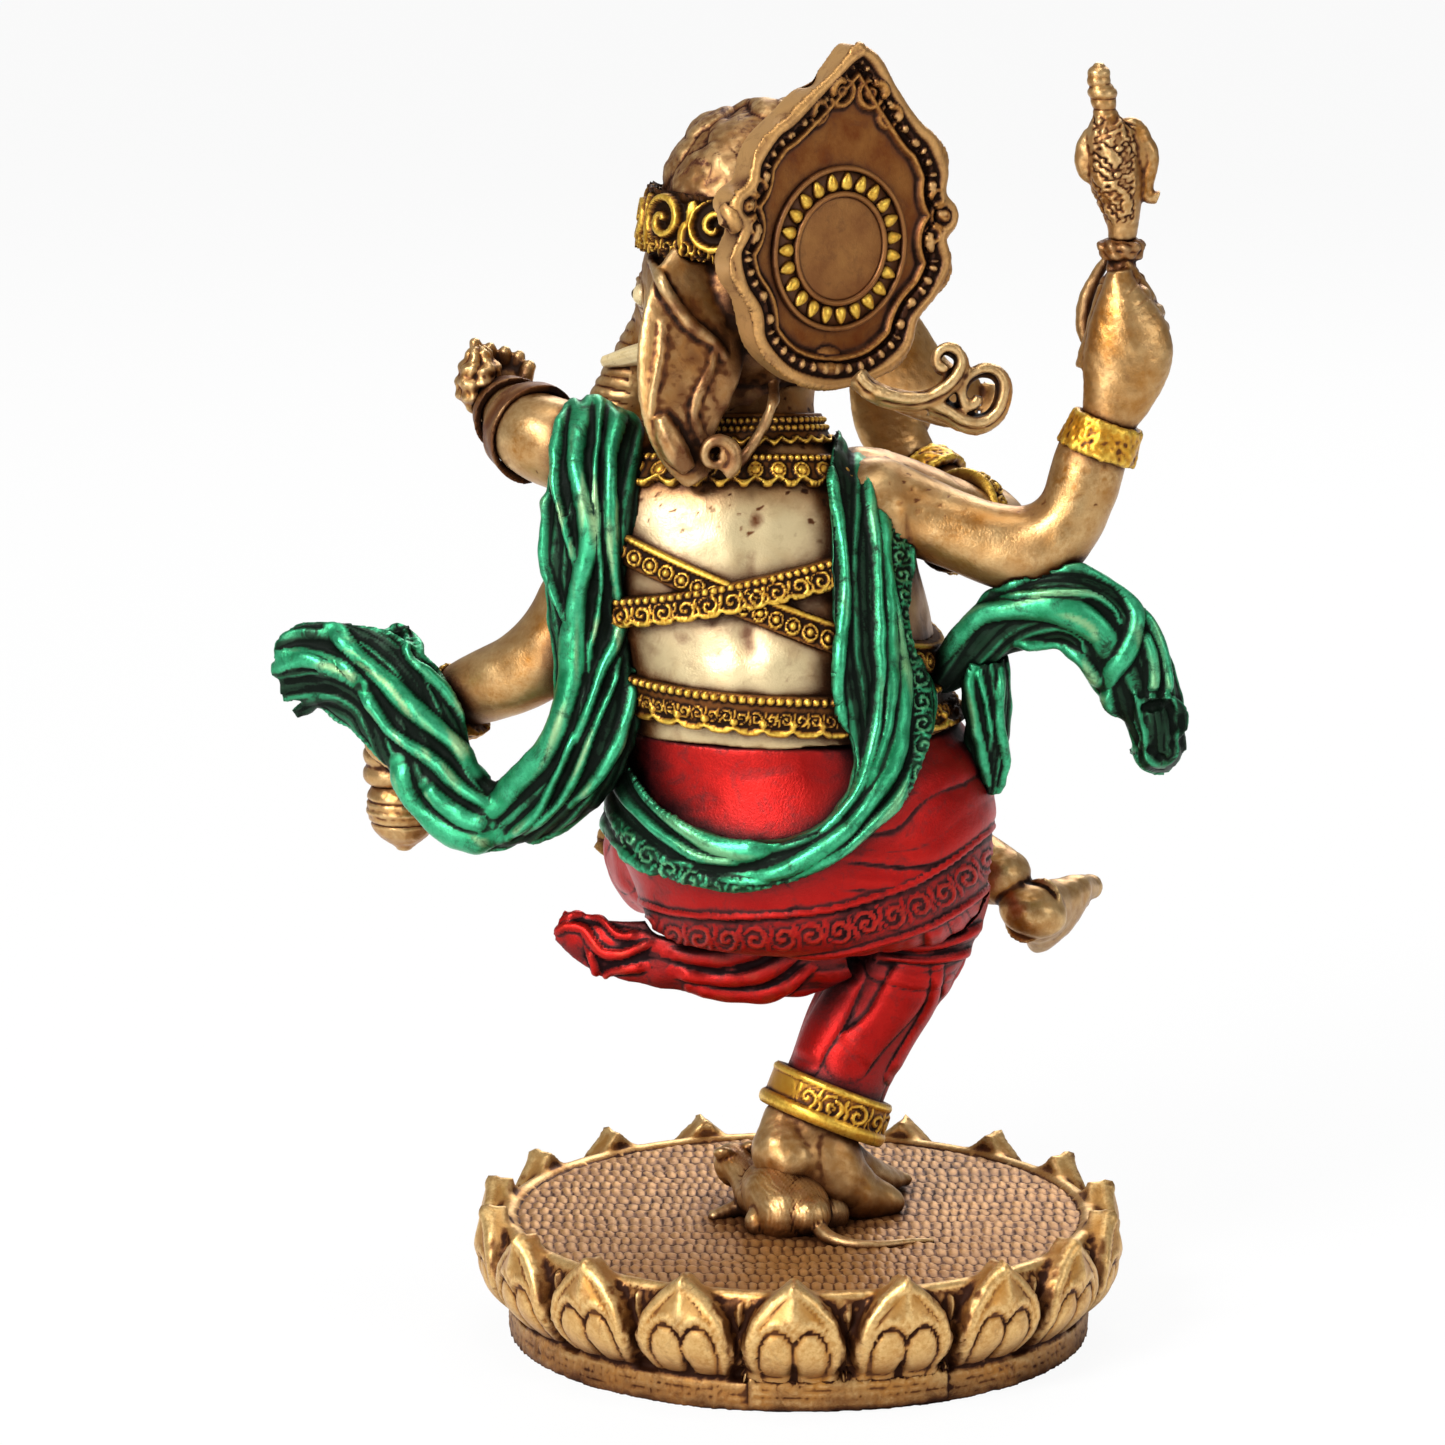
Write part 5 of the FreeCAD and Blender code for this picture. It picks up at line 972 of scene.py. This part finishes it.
band = cast("crown_band_casting", "crown_band", grain=0.45, soften=1)
spots, facing = points_of(band.data)
local = in_head(spots)
band_radius = 23.0
run = np.arctan2(local[:, 0], -local[:, 1]) * band_radius
side = local[:, 2] - 15.5
big, small = 2 * math.pi * band_radius / 11, 2 * math.pi * band_radius / 33
curls = np.maximum(scrollwork(run + 3.0, side - 0.6, big, 1.15),
                   0.8 * scrollwork(run + 0.8, side + 5.2, small, 1.0))
cut = ease(-curls, -0.35, -0.12)
top = side - (5.0 + 2.4 * np.abs(np.sin(np.pi * (run + 3.0) / big)))
tool(band, 1.5 * curls - 0.9 * cut - 2.2 * ease(top, 0.0, 0.8), fine=0.1, low=0.75 * cut)
dress(band, ornament_gold, "ornament_gold", "crown_band")

# ---------------------------------------------------------------- back plate of the crown
# A lobed plate with an ogee tip stands behind the crown. Its rim is a double cord with a dark channel of
# beads between, scrolls at the tip and leaf rosettes at the sides; its panel is plain satin bronze.

plate_side = [(0.0, 1.0), (0.13, 0.92), (0.30, 0.74), (0.47, 0.60), (0.60, 0.50), (0.72, 0.43),
              (0.86, 0.26), (0.88, 0.13), (0.985, 0.05), (0.985, -0.05), (0.90, -0.13), (0.965, -0.27),
              (0.88, -0.46), (0.73, -0.60), (0.66, -0.77), (0.42, -0.93), (0.14, -0.995)]
half_wide, half_tall = 30.5, 38.5
outline = [(u * half_wide, v * half_tall) for u, v in plate_side]
outline = outline + [(-u, v) for u, v in reversed(outline[1:])] + [outline[0]]
outline_line = flow(outline, 8)
plate_paint = aged_paint("satin_bronze_paint_on_crown_plate", "#6A3004", "#C08A46", "#1C0C04", metal=0.78,
                         rough=0.38, gilt="#C9A066", wear=1.0, glaze="#552A0A")
knob_line = [(-17.3, 246.9), (-15.8, 245.1), (-14.4, 243.1)]
knob = cord("knob", laid_on(all_skins(["crown_plate"]), knob_line, 0.4), (1.6, 3.0, 1.6))
plate = cast("crown_plate_casting", "crown_plate", grain=0.44, soften=2, extras=[knob])
spots, facing = points_of(plate.data)
local = in_head(spots)
a, b, out = local[:, 0] - 1.6, local[:, 2] - 22.5, -local[:, 1] - 23.0
run, side = along(outline_line, np.stack([a, b], 1))
inset = np.abs(side)
behind = ease(out, 3.5, 5.0) * (facing @ np.array(head_place)[:3, 1] < -0.2)
rim_bead, channel_inset = 3.7, 3.7
channel = dome(np.hypot((run / rim_bead % 1.0 - 0.5) * rim_bead, inset - channel_inset), 1.0)
groove = ease(-np.abs(inset - channel_inset), -1.8, -1.0)
height = 1.1 * dome(inset - 1.0, 1.25) + 0.9 * dome(inset - 6.2, 0.85) - 0.5 * groove
height = np.maximum(height, 1.35 * channel - 0.2)
shelf = 1.1 * ease(-inset, -6.9, -6.3) * ease(inset, 4.4, 4.9)
tip = np.maximum.reduce([
    dome(np.abs(np.hypot(np.abs(a) - 4.1, b - 26.0) - r), w) * h
    for r, w, h in ((3.3, 0.85, 1.5), (1.0, 0.9, 1.4))])
leafy = np.maximum.reduce([
    dome(np.abs(np.hypot(np.abs(a) - x, b - y) - r), w) for x, y, r, w in
    ((9.6, 21.0, 2.4, 0.7), (27.0, 0.0, 2.8, 0.8), (27.0, 0.0, 0.6, 0.9), (24.4, 4.2, 1.5, 0.6),
     (24.4, -4.2, 1.5, 0.6))])
foot_leaf = dome(np.hypot(a / 4.5, (b + 33.0) / 3.2), 1.0)
height = np.maximum.reduce([height + shelf * 0.6, tip, leafy * 1.2, foot_leaf])
edge_lobes = 0.4 * np.sin(run / 4.2) * ease(-inset, -2.4, -0.3)
for notch in [(-2.2, 265.6), (-12, 250.9), (-13.8, 230.4), (0, 276.7)]:
    far = np.linalg.norm(seen(spots) - np.array(notch), axis=1)
    edge_lobes -= 1.8 * np.exp(-(far / 2.6) ** 2) * (1 - behind)
lowered = 0.24 * np.clip(b - 26.0, 0, None)
spots -= lowered[:, None] * np.array(head_place)[:3, 2]
plate.data.vertices.foreach_set("co", (spots / 1000.0).ravel())
raised = np.clip(channel * 1.6 + tip + leafy + foot_leaf, 0, 1)
dark = ease(-np.abs(inset - channel_inset), -1.9, -1.3) * (1 - raised) * behind
outer_cord = behind * dome(inset - 1.0, 1.25) * (inset < 2.4)
tool(plate, behind * height + edge_lobes, fine=0.1, broad=0.9, low=0.6 * dark,
     gilt=np.clip(0.62 * (1 - behind) + 0.75 * channel * behind + 0.5 * outer_cord, 0, 0.8))
dress(plate, plate_paint, "antique_gold_resin", "crown_plate")

# The medallion: a plain disc in a ring, with petals like drops between, yellow gold on a dark ground.
medal_middle = Vector((1.6, -28.4, 14.2))


def turned_ring(bm, rows, segments=96):
    """A closed ring turned about the medallion's own axis from rows of radius and height in mm."""
    verts = [bm.verts.new((radius / 1000.0, 0, rise / 1000.0)) for radius, rise in rows]
    edges = [bm.edges.new((verts[i], verts[(i + 1) % len(verts)])) for i in range(len(verts))]
    bmesh.ops.spin(bm, geom=verts + edges, cent=(0, 0, 0), axis=(0, 0, 1), angle=math.tau, steps=segments,
                   use_merge=True)


def set_on_plate(bm, name):
    """Turns a form made flat to stand on the back of the plate, and makes it a piece."""
    bmesh.ops.remove_doubles(bm, verts=bm.verts, dist=1e-6)
    bmesh.ops.recalc_face_normals(bm, faces=bm.faces)
    to_plate = head_place @ Matrix.Translation(medal_middle) @ Matrix.Rotation(math.pi / 2, 4, "X")
    shrink = Matrix.Diagonal((0.001, 0.001, 0.001, 1)) @ to_plate @ Matrix.Diagonal((1000, 1000, 1000, 1))
    bmesh.ops.transform(bm, verts=bm.verts, matrix=shrink)
    mesh = bpy.data.meshes.new(name)
    bm.to_mesh(mesh)
    bm.free()
    piece = bpy.data.objects.new(name, mesh)
    bpy.context.collection.objects.link(piece)
    return piece


bm = bmesh.new()
turned_ring(bm, [(16.9, -0.4), (16.9, 0.9), (17.2, 1.35), (17.6, 1.5), (18.0, 1.3), (18.2, 0.8),
                 (18.2, -0.4)])
turned_ring(bm, [(11.3, -0.4), (11.3, 1.2), (11.6, 1.6), (12.0, 1.7), (12.4, 1.5), (12.6, 1.0),
                 (12.6, -0.4)])
turned_ring(bm, [(0.02, -0.3), (0.02, 1.05), (0.08, 1.05), (0.3, 1.05), (4.0, 1.05), (8.0, 1.05),
                 (10.8, 1.05), (11.5, 0.95), (11.5, -0.3)])
rings = set_on_plate(bm, "medallion_rings")
tool(rings)
mark(rings.data, "hollow", np.zeros(len(rings.data.vertices)))
mark(rings.data, "gilt", np.full(len(rings.data.vertices), 0.14))
dress(rings, plate_paint, "antique_gold_resin", "plate_medallion")
dark_ground = aged_paint("brown_black_wash_on_medallion_ground", "#3A2210", "#6B4520", "#150A04", metal=0.3,
                         rough=0.55, wear=0.3)
bm = bmesh.new()
turned_ring(bm, [(12.0, -0.3), (12.0, 0.30), (17.3, 0.30), (17.3, -0.3)])
ground = set_on_plate(bm, "medallion_ground")
tool(ground)
mark(ground.data, "hollow", np.zeros(len(ground.data.vertices)))
dress(ground, dark_ground, "antique_gold_resin")
bm = bmesh.new()
for i in range(23):
    drop = bmesh.ops.create_uvsphere(bm, u_segments=14, v_segments=10, radius=0.001)["verts"]
    for v in drop:
        taper = 1.0 - 0.42 * (v.co.y * 1000.0 + 0.15)
        v.co = Vector((v.co.x * 1.55 * min(taper, 1.25), v.co.y * 2.25, v.co.z * 1.35))
    turn = Matrix.Rotation(math.tau * i / 23, 4, "Z") @ Matrix.Translation((0, 0.01465, 0.0004))
    bmesh.ops.transform(bm, verts=drop, matrix=turn)
drops = set_on_plate(bm, "medallion_petals")
tool(drops)
dress(drops, ornament_gold, "ornament_gold")

# ---------------------------------------------------------------- hands and what they hold
# Four hands in antique gold: a goad of two pieces in the raised right one, a ringed sweet pot in the low
# left one, a lotus bud in the rear left one, and the front right one open in blessing.

# Thumb, knuckles and fingers closed round the goad, each a tapered roll.
grip = []
for name, sheet, wide in (
        ("thumb", ([(63.8, 218.9), (62.4, 224.2), (62.9, 229.6), (64.9, 234.4), (67.3, 238.4)],
                   (4.0, 5.0, 5.5, 5.0, 3.5)), (1.5, 2.0, 1.9, 1.6, 1.2)),
        ("index", ([(75.8, 229.1), (73.8, 232.2), (72, 235.1), (70.2, 237.6), (68.4, 238.9)],
                   (-3.0, -4.0, -4.5, -5.0, -4.0)), (2.4, 2.0, 1.7, 1.4, 1.1)),
        ("middle", ([(75.6, 229.6), (76, 229.8), (75.1, 229.8)], (-3.0, 3.0, 8.0)), (1.9, 2.3, 2.0)),
        ("ring", ([(77.3, 226.4), (78, 226.7), (76.9, 226.7)], (-3.0, 3.0, 8.0)), (1.9, 2.3, 2.0)),
        ("little", ([(78.7, 223.1), (79.3, 223.3), (78, 223.3)], (-3.0, 3.0, 8.0)), (1.8, 2.1, 1.8))):
    grip.append(cord(name, up_from_sheet([(p[0], y, p[1]) for p, y in zip(*sheet)]), wide))
for node_name in ("rear_right_hand", "rear_left_hand", "front_left_hand", "front_right_hand"):
    hand = cast(node_name + "_casting", node_name, grain=0.45, soften=4,
                extras=grip if node_name == "rear_right_hand" else ())
    spots, facing = points_of(hand.data)
    cuts = np.zeros(len(spots))
    if node_name == "rear_right_hand":
        cuts = ridges(seen(spots), [([(74.7, 234), (72.9, 232), (71.1, 229.6)], 0.7, 0.3),
                                    ([(77.3, 231.1), (75.6, 229.1), (73.3, 227.3)], 0.7, 0.3),
                                    ([(80, 227.6), (77.8, 225.8), (75.6, 224.2)], 0.7, 0.3),
                                    ([(63.6, 220.4), (64, 226.4), (65.8, 232.2), (68.9, 237.1)], 0.6, 0.8)])
        cuts = cuts * ease(-facing[:, 1], -0.4, 0.1)
    tool(hand, 0.12 * mottle(spots, 6, 4) + 0.05 * mottle(spots, 2.2, 6) - 0.12 * cuts, fine=0.12)
    dress(hand, antique_gold, "antique_gold_resin", node_name)

goad = cast("goad_head_casting", "goad_head", grain=0.34, soften=1)
spots, facing = points_of(goad.data)
x, y, z = spots[:, 0] - 69.0, spots[:, 1] + 3.0, spots[:, 2]
turn = np.arctan2(x, -y) * 4.4
flaked = (mottle(np.stack([turn, z * 0.45, y * 0], 1), 2.6, 21)
          + 0.5 * mottle(np.stack([turn, z, y * 0], 1), 1.7, 22))
scales = 0.5 + np.clip(0.9 - 2.2 * np.abs(flaked), -0.6, 0.5)
bulb = ease(z, 251, 254) * ease(-z, -277, -274) * ease(-np.abs(x + 1), -5.2, -4.2)
collar_rings = np.abs(np.sin(z * 1.35)) * ease(z, 275, 277)
tool(goad, -0.40 * (scales - 0.5) * bulb + 0.3 * collar_rings + 0.06 * mottle(spots, 2.0, 7), fine=0.07,
     low=0.22 * bulb * scales)
dress(goad, antique_gold, "antique_gold_resin", "goad_head")
handle = cast("goad_handle_casting", "goad_handle", grain=0.34, soften=1)
spots, facing = points_of(handle.data)
z = spots[:, 2]
knots = ease(z, 236, 238) * (0.45 * mottle(spots, 2.4, 4) + 0.35 * np.abs(np.sin(z * 1.2)))
tool(handle, knots + 0.05 * mottle(spots, 2.0, 3), fine=0.07, low=0.25 * ease(z, 236, 238))
dress(handle, antique_gold, "antique_gold_resin", "goad_handle")

pot = cast("sweet_pot_casting", "sweet_pot", grain=0.36, soften=1)
spots, facing = points_of(pot.data)
z = spots[:, 2]
grooves = -0.4 * np.exp(-((z - 112.2) / 0.35) ** 2) - 0.4 * np.exp(-((z - 117.4) / 0.35) ** 2)
grooves += 0.35 * np.exp(-((z - 114.8) / 0.5) ** 2)
tool(pot, grooves + 0.07 * mottle(spots, 2.4, 2), fine=0.07)
dress(pot, antique_gold, "antique_gold_resin", "sweet_pot")
bud = cast("lotus_bud_casting", "lotus_bud", grain=0.36, soften=1)
spots, facing = points_of(bud.data)
turn = np.arctan2(spots[:, 0] + 71.5, -(spots[:, 1] - 24.0))
petal = np.abs(np.sin(turn * 2.5 + 0.5 * np.sin(spots[:, 2] * 0.8)))
tool(bud, 0.9 * (petal - 0.6) + 0.3 * np.sin(spots[:, 2] * 1.9) + 0.15 * mottle(spots, 2.0, 5), fine=0.07)
dress(bud, antique_gold, "antique_gold_resin", "lotus_bud")

# ---------------------------------------------------------------- scarf
# A long pleated scarf over both shoulders: down the back on the right and round under the hips, down the
# left side and flying out, and over the right elbow. Metallic green over a black wash, gold on its edges.

green_paint = aged_paint("metallic_emerald_paint_on_cast_resin", "#067846", "#52C894", "#060F08",
                         metal=0.78, rough=0.31, gilt="#C8C890", wear=0.6, grit=0.3, corner_wash_and_shade=1.2,
                         grime=0.55, glaze="#0D3A20")


def scarf_piece(label, node_name, line, pitch, deep, seed, border_at, drawn, cell=4.6, grain=0.6, sway=0.3,
                gold=0.3, extras=()):
    """A length of scarf: drawn folds on the side seen, pleats along a line elsewhere, a curled border.

    border_at is how far to the line's side the border runs, gold how much gold is brushed on its folds.
    """
    piece = cast(label, node_name, grain=grain, soften=3, extras=extras)
    spots, facing = points_of(piece.data)
    places = seen(spots)
    run, side = along(flow(line), places)
    towards = ease(-facing[:, 1], -0.05, 0.45)
    pleats = 0.8 * folds(run, side, pitch, sway, seed)
    laid = ridges(places, [(points, 1.45 * first, 1.45 * last) for points, first, last in drawn])
    laid = np.maximum(laid, 0.30 * folds(run, side, pitch * 0.5, 0.6, seed + 4))
    pleats = laid * towards + pleats * (1 - towards)
    edge = side - border_at
    on_border = ease(-np.abs(edge), -2.4, -1.8) * ease(np.abs(facing[:, 1]), 0.15, 0.5)
    stamped = scrollwork(run, edge, cell) * on_border
    height = deep * (pleats - 0.36) * (1 - 0.8 * on_border) + 0.4 * stamped + 0.25 * mottle(spots, 7, seed)
    height = height * (0.3 + 0.7 * ease(places[:, 0], -117, -109))
    streak = ease(mottle(np.stack([run * 0.25, side * 2.2, side], 1), 7, seed + 3), 0.15, 0.8)
    brushed = ease(pleats, 0.55, 0.95) * streak * (1 - on_border)
    rubbed = ease(stamped, 0.6, 1.0) * 0.16
    dark = 0.45 * on_border * (1 - np.clip(stamped * 2, 0, 1))
    tool(piece, height, fine=0.12, broad=0.8, gilt=np.clip(gold * brushed + rubbed, 0, 0.8),
         low=dark + 0.8 * ease(-pleats, -0.36, -0.04) * (1 - on_border))
    return dress(piece, green_paint, "green_scarf_paint", node_name)


scarf_piece("scarf_over_back", "scarf_back",
            [(15.1, 207.1), (15.1, 190.4), (14.7, 172.7), (17.3, 154.9), (19.6, 141.6), (19.1, 126),
             (13.8, 116), (2.2, 108.7), (-12.2, 106), (-25.6, 110.4), (-35.6, 118.2), (-43.1, 128.2)],
            5.2, 2.3, 1, 6.8, [
                ([(5.3, 199.3), (6.7, 190.4), (8, 181.6), (9.1, 172.7), (9.6, 166), (9.1, 159.3),
                  (8.4, 152.7), (8, 143.8), (8.4, 134.9), (7.1, 126.4), (4, 120.4), (-1.1, 115.3),
                  (-6.7, 111.8)], 0.8, 1.3),
                ([(-6.7, 110.4), (-12.2, 108.7), (-18.9, 109.6), (-24.4, 112.7), (-30, 117.1), (-33.8, 122),
                  (-36.4, 127.1), (-38, 131.6)], 1.9, 1.2),
                ([(12.9, 201.6), (13.8, 192.7), (14.9, 186), (15.8, 179.3), (16.4, 172.7), (16.9, 163.8),
                  (17.1, 154.9), (17.1, 146), (16.4, 137.1), (14.9, 129.3), (12.7, 122.7), (9.3, 117.6),
                  (4.9, 113.1)], 0.7, 0.9),
                ([(16.2, 201.6), (16.7, 194.9), (17.1, 186), (18, 177.1), (18.9, 168.2), (19.3, 159.3),
                  (19.8, 151.6), (19.6, 143.8), (18.4, 134.9), (16.4, 128.2), (13.8, 122.7), (10.7, 118)],
                 1.1, 1.2),
                ([(20, 201.6), (20.7, 194.9), (21.1, 188.2), (20.9, 181.6), (20.4, 172.7), (20.9, 163.8),
                  (22, 154.9), (22.7, 146), (22.2, 138.2), (20.9, 130.9), (18.2, 124.2), (14.7, 118.7),
                  (10.2, 113.3), (4.4, 108.7), (-2.2, 105.1), (-9.3, 102.9), (-17.8, 102)], 2.1, 1.3),
                ([(23.1, 199.3), (23.3, 192.7), (23.6, 183.8), (23.6, 174.9), (24.2, 163.8), (25.6, 154.9),
                  (26.9, 146), (27.3, 138.2), (26.4, 130.9), (24.2, 124.9), (20.7, 119.3), (15.6, 114.4),
                  (10, 109.1), (3.3, 105.6), (-4.4, 102.4)], 1.0, 1.0),
                ([(-41.8, 127.1), (-39.6, 121.6), (-35.6, 116.7), (-30.7, 112.2), (-24.4, 108.2),
                  (-19.6, 106.7), (-12.2, 106)], 1.1, 0.8),
                ([(-43.6, 122.7), (-41.6, 116), (-37.3, 110.4), (-31.6, 106.9), (-24.4, 105.1)], 0.9, 0.7),
                ([(-41.8, 109.1), (-35.6, 105.6), (-28.9, 103.3), (-21.1, 101.6), (-13.3, 101.1),
                  (-5.6, 102)], 1.0, 1.1)], gold=0.2)
left_skin = all_skins(["scarf_left"])
cloth_spots = points_of(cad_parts["scarf_left"].data)[0]
end_depth = float(np.mean(cloth_spots[cloth_spots[:, 0] < -108][:, 1]))
tips = [cord("tip", laid_on(left_skin, sheet, -1.5, end_depth), wide) for sheet, wide in (
    ([(-117.3, 148.2), (-112.9, 148.9), (-107.8, 148.9), (-101.1, 145.6), (-94.4, 140.4)],
     (1.9, 2.9, 3.0, 2.6, 1.8)),
    ([(-104, 158.9), (-102.4, 155.3), (-100, 150.4), (-95.1, 144.7)], (1.3, 2.0, 2.6, 2.4)),
    ([(-87.6, 158.4), (-86.9, 155.3), (-85.3, 150.4), (-82.2, 143.8), (-78.2, 138.2)],
     (1.2, 1.6, 1.9, 1.9, 1.8)),
    ([(-95.1, 154.9), (-91.1, 156.2), (-87.6, 157.6)], (1.1, 1.2, 1.1)),
    ([(-112.9, 138.2), (-110, 139.8), (-106.2, 141.8), (-101.1, 142.9)], (1.4, 2.0, 2.2, 2.0)))]
scarf_piece("scarf_down_left", "scarf_left",
            [(-44.4, 208.2), (-45.3, 192.7), (-46.2, 172.7), (-44.9, 154.9), (-45.3, 141.6), (-50.7, 126),
             (-60, 116), (-70, 110), (-80, 119.3), (-86.7, 132.7), (-93.3, 143.8), (-104.4, 149.3),
             (-117.8, 148.7)],
            5.4, 2.4, 2, -20.0, [
                ([(-48.2, 207.3), (-48.9, 200.4), (-49.3, 192.7), (-47.8, 186), (-46.4, 181.1),
                  (-46.2, 176), (-47.6, 170.4), (-49.1, 163.8), (-50, 154.9), (-50.4, 148.7),
                  (-51.3, 143.3), (-53.1, 138), (-55.6, 133.1), (-58.7, 128.7), (-62.7, 124.2),
                  (-66.7, 119.3), (-71.1, 115.3)], 1.5, 2.4),
                ([(-52.2, 206.4), (-53.3, 199.3), (-53.8, 192.7), (-53.6, 187.1), (-52.4, 182.7),
                  (-51.3, 178.2), (-50.2, 174.4), (-49.3, 170)], 0.9, 0.6),
                ([(-39.6, 208.2), (-40.4, 202), (-41.6, 196), (-41.8, 189.3), (-41.6, 183.3),
                  (-41.6, 177.1), (-40.9, 170.4), (-40, 163.8), (-39.6, 158.2), (-40.7, 153.8),
                  (-43.1, 149.3), (-45.1, 143.8), (-47.1, 138.2), (-49.8, 132.2)], 1.5, 0.8),
                ([(-44, 207.8), (-44.4, 199.3), (-45.1, 190.4), (-44.7, 182.7), (-44.2, 175.3),
                  (-43.8, 168.2), (-44.2, 162.7), (-45.1, 157.1), (-46.2, 152.7), (-46.7, 147.8)],
                 0.6, 0.5),
                ([(-36.9, 164.7), (-35.6, 159.3), (-34.9, 153.8), (-35.6, 148.2), (-37.1, 142.7),
                  (-38.4, 137.1), (-40.2, 131.6), (-42.9, 127.1), (-46.2, 122.7), (-50.7, 118.2)],
                 0.9, 1.0),
                ([(-39.6, 150.4), (-41.1, 144.9), (-43.1, 140.4), (-44.9, 136), (-46.7, 131.6),
                  (-48.9, 126), (-52, 120.4), (-56, 116), (-61.1, 112.2)], 0.6, 0.9),
                ([(-55.3, 188.2), (-56.4, 179.3), (-56.4, 172.7), (-54.9, 167.1), (-52.7, 161.6),
                  (-51.1, 156.7)], 0.8, 0.6),
                ([(-49.8, 133.8), (-52.2, 127.8), (-54.7, 122.7), (-57.1, 118), (-60.4, 114.4),
                  (-64.9, 110.9)], 0.7, 0.9),
                ([(-104, 158), (-98.4, 151.6), (-92.2, 146), (-86.7, 140.4), (-80, 134.9), (-75.6, 130.9),
                  (-71.6, 126.4)], 1.6, 1.8),
                ([(-97.3, 144.2), (-91.6, 135.3), (-86.7, 131.6), (-81.1, 127.8), (-76.7, 123.3),
                  (-72.2, 120), (-67.3, 118)], 1.1, 1.3),
                ([(-89.3, 127.8), (-87.8, 121.6), (-83.6, 115.6), (-77.8, 111.6), (-72.2, 110.2),
                  (-67.3, 111.3)], 1.6, 2.0),
                ([(-83.3, 122.7), (-78.9, 118.2), (-73.8, 114.9), (-68.9, 113.6)], 1.8, 1.4),
                ([(-88, 156.7), (-86.7, 151.1), (-82.2, 147.1), (-78.4, 143.3), (-75.1, 138.9),
                  (-71.1, 133.1), (-67.3, 127.1)], 0.8, 0.9),
                ([(-117.8, 149.6), (-111.1, 151.1), (-103.1, 148.9), (-97.3, 145.1)], 2.2, 1.2)],
            gold=0.42, extras=tips)
elbow_skin = all_skins(["scarf_right_drape"])
curls_of_cloth = [cord("curl", laid_on(elbow_skin, sheet, lift, -8.0), wide) for sheet, wide, lift in (
    ([(73.1, 142.9), (73.6, 139.8), (74.2, 136.7), (75.8, 133.8), (75.1, 131.1), (72.7, 130)],
     (0.7, 1.0, 1.1, 1.3, 1.2, 0.8), 0.9),
    ([(74.7, 141.1), (77.8, 141.8), (80.9, 141.6), (83.6, 139.6), (84.7, 136.4), (83.3, 133.8), (80, 133.1),
      (77.3, 133.6)], (0.7, 0.9, 1.0, 1.1, 1.1, 1.0, 0.9, 0.7), 0.9),
    ([(74.7, 130), (76.9, 128.2), (79.6, 127.6), (81.6, 129.1), (82.4, 131.8)], (1.6, 2.5, 2.8, 2.5, 1.6),
     -0.6),
    ([(77.8, 139.8), (78.9, 134.9), (79.6, 130)], (2.6, 3.0, 2.2), -0.4))]
scarf_piece("scarf_over_elbow", "scarf_right_drape",
            [(23.3, 143.8), (34.4, 154.9), (44.4, 162.7), (57.8, 166), (68.9, 161.6), (74.4, 150.4),
             (77.8, 139.3), (79.6, 130.4)], 6.0, 2.2, 5, 30.0, [
                ([(40.2, 167.3), (45.1, 166.9), (51.3, 169.8), (58, 171.3), (64, 170.9), (69.1, 168.2),
                  (72.4, 163.8), (73.6, 158.9), (72, 152.7), (68.7, 148.2), (66.2, 144.2)], 1.1, 1.5),
                ([(44, 164), (51.3, 164.7), (58, 164.9), (64, 164.2), (68.2, 161.3), (69.8, 158.4)],
                 0.8, 0.5),
                ([(28.9, 148.7), (34, 155.8), (38.4, 159.8), (44, 161.1), (52.4, 161.6), (59.6, 160.2),
                  (65.1, 156.2), (67.6, 152.2)], 1.4, 2.6),
                ([(47.3, 153.6), (55.1, 153.1), (60.7, 151.1), (64, 147.1), (66, 143.8)], 0.7, 0.8),
                ([(75.1, 156.7), (76.9, 151.6), (77.6, 147.1), (77.1, 142.9)], 0.9, 0.9),
                ([(74, 163.8), (78, 155.6), (80.2, 148.7), (80.7, 142.2)], 0.8, 0.7),
                ([(66.7, 143.8), (68, 138.9), (70.2, 133.6), (72.4, 130.4)], 1.2, 1.0)],
            extras=curls_of_cloth)
scarf_piece("scarf_end_hanging", "scarf_right_hang", [(40, 154.9), (42.2, 141.6), (41.1, 126), (40, 117.1)],
            3.4, 1.4, 6, 30.0, [
    ([(40.2, 153.8), (37.6, 150), (37.3, 143.8), (38.4, 137.1), (39.8, 130.4), (41.6, 122.7)], 1.1, 0.8),
    ([(38.7, 148.7), (40.2, 143.8), (41.3, 138.9), (42.2, 132.7)], 0.7, 0.5),
    ([(44.4, 148.2), (44, 141.6), (44.2, 134.9), (45.8, 127.1), (44, 120.4)], 0.8, 0.7)], grain=0.5)
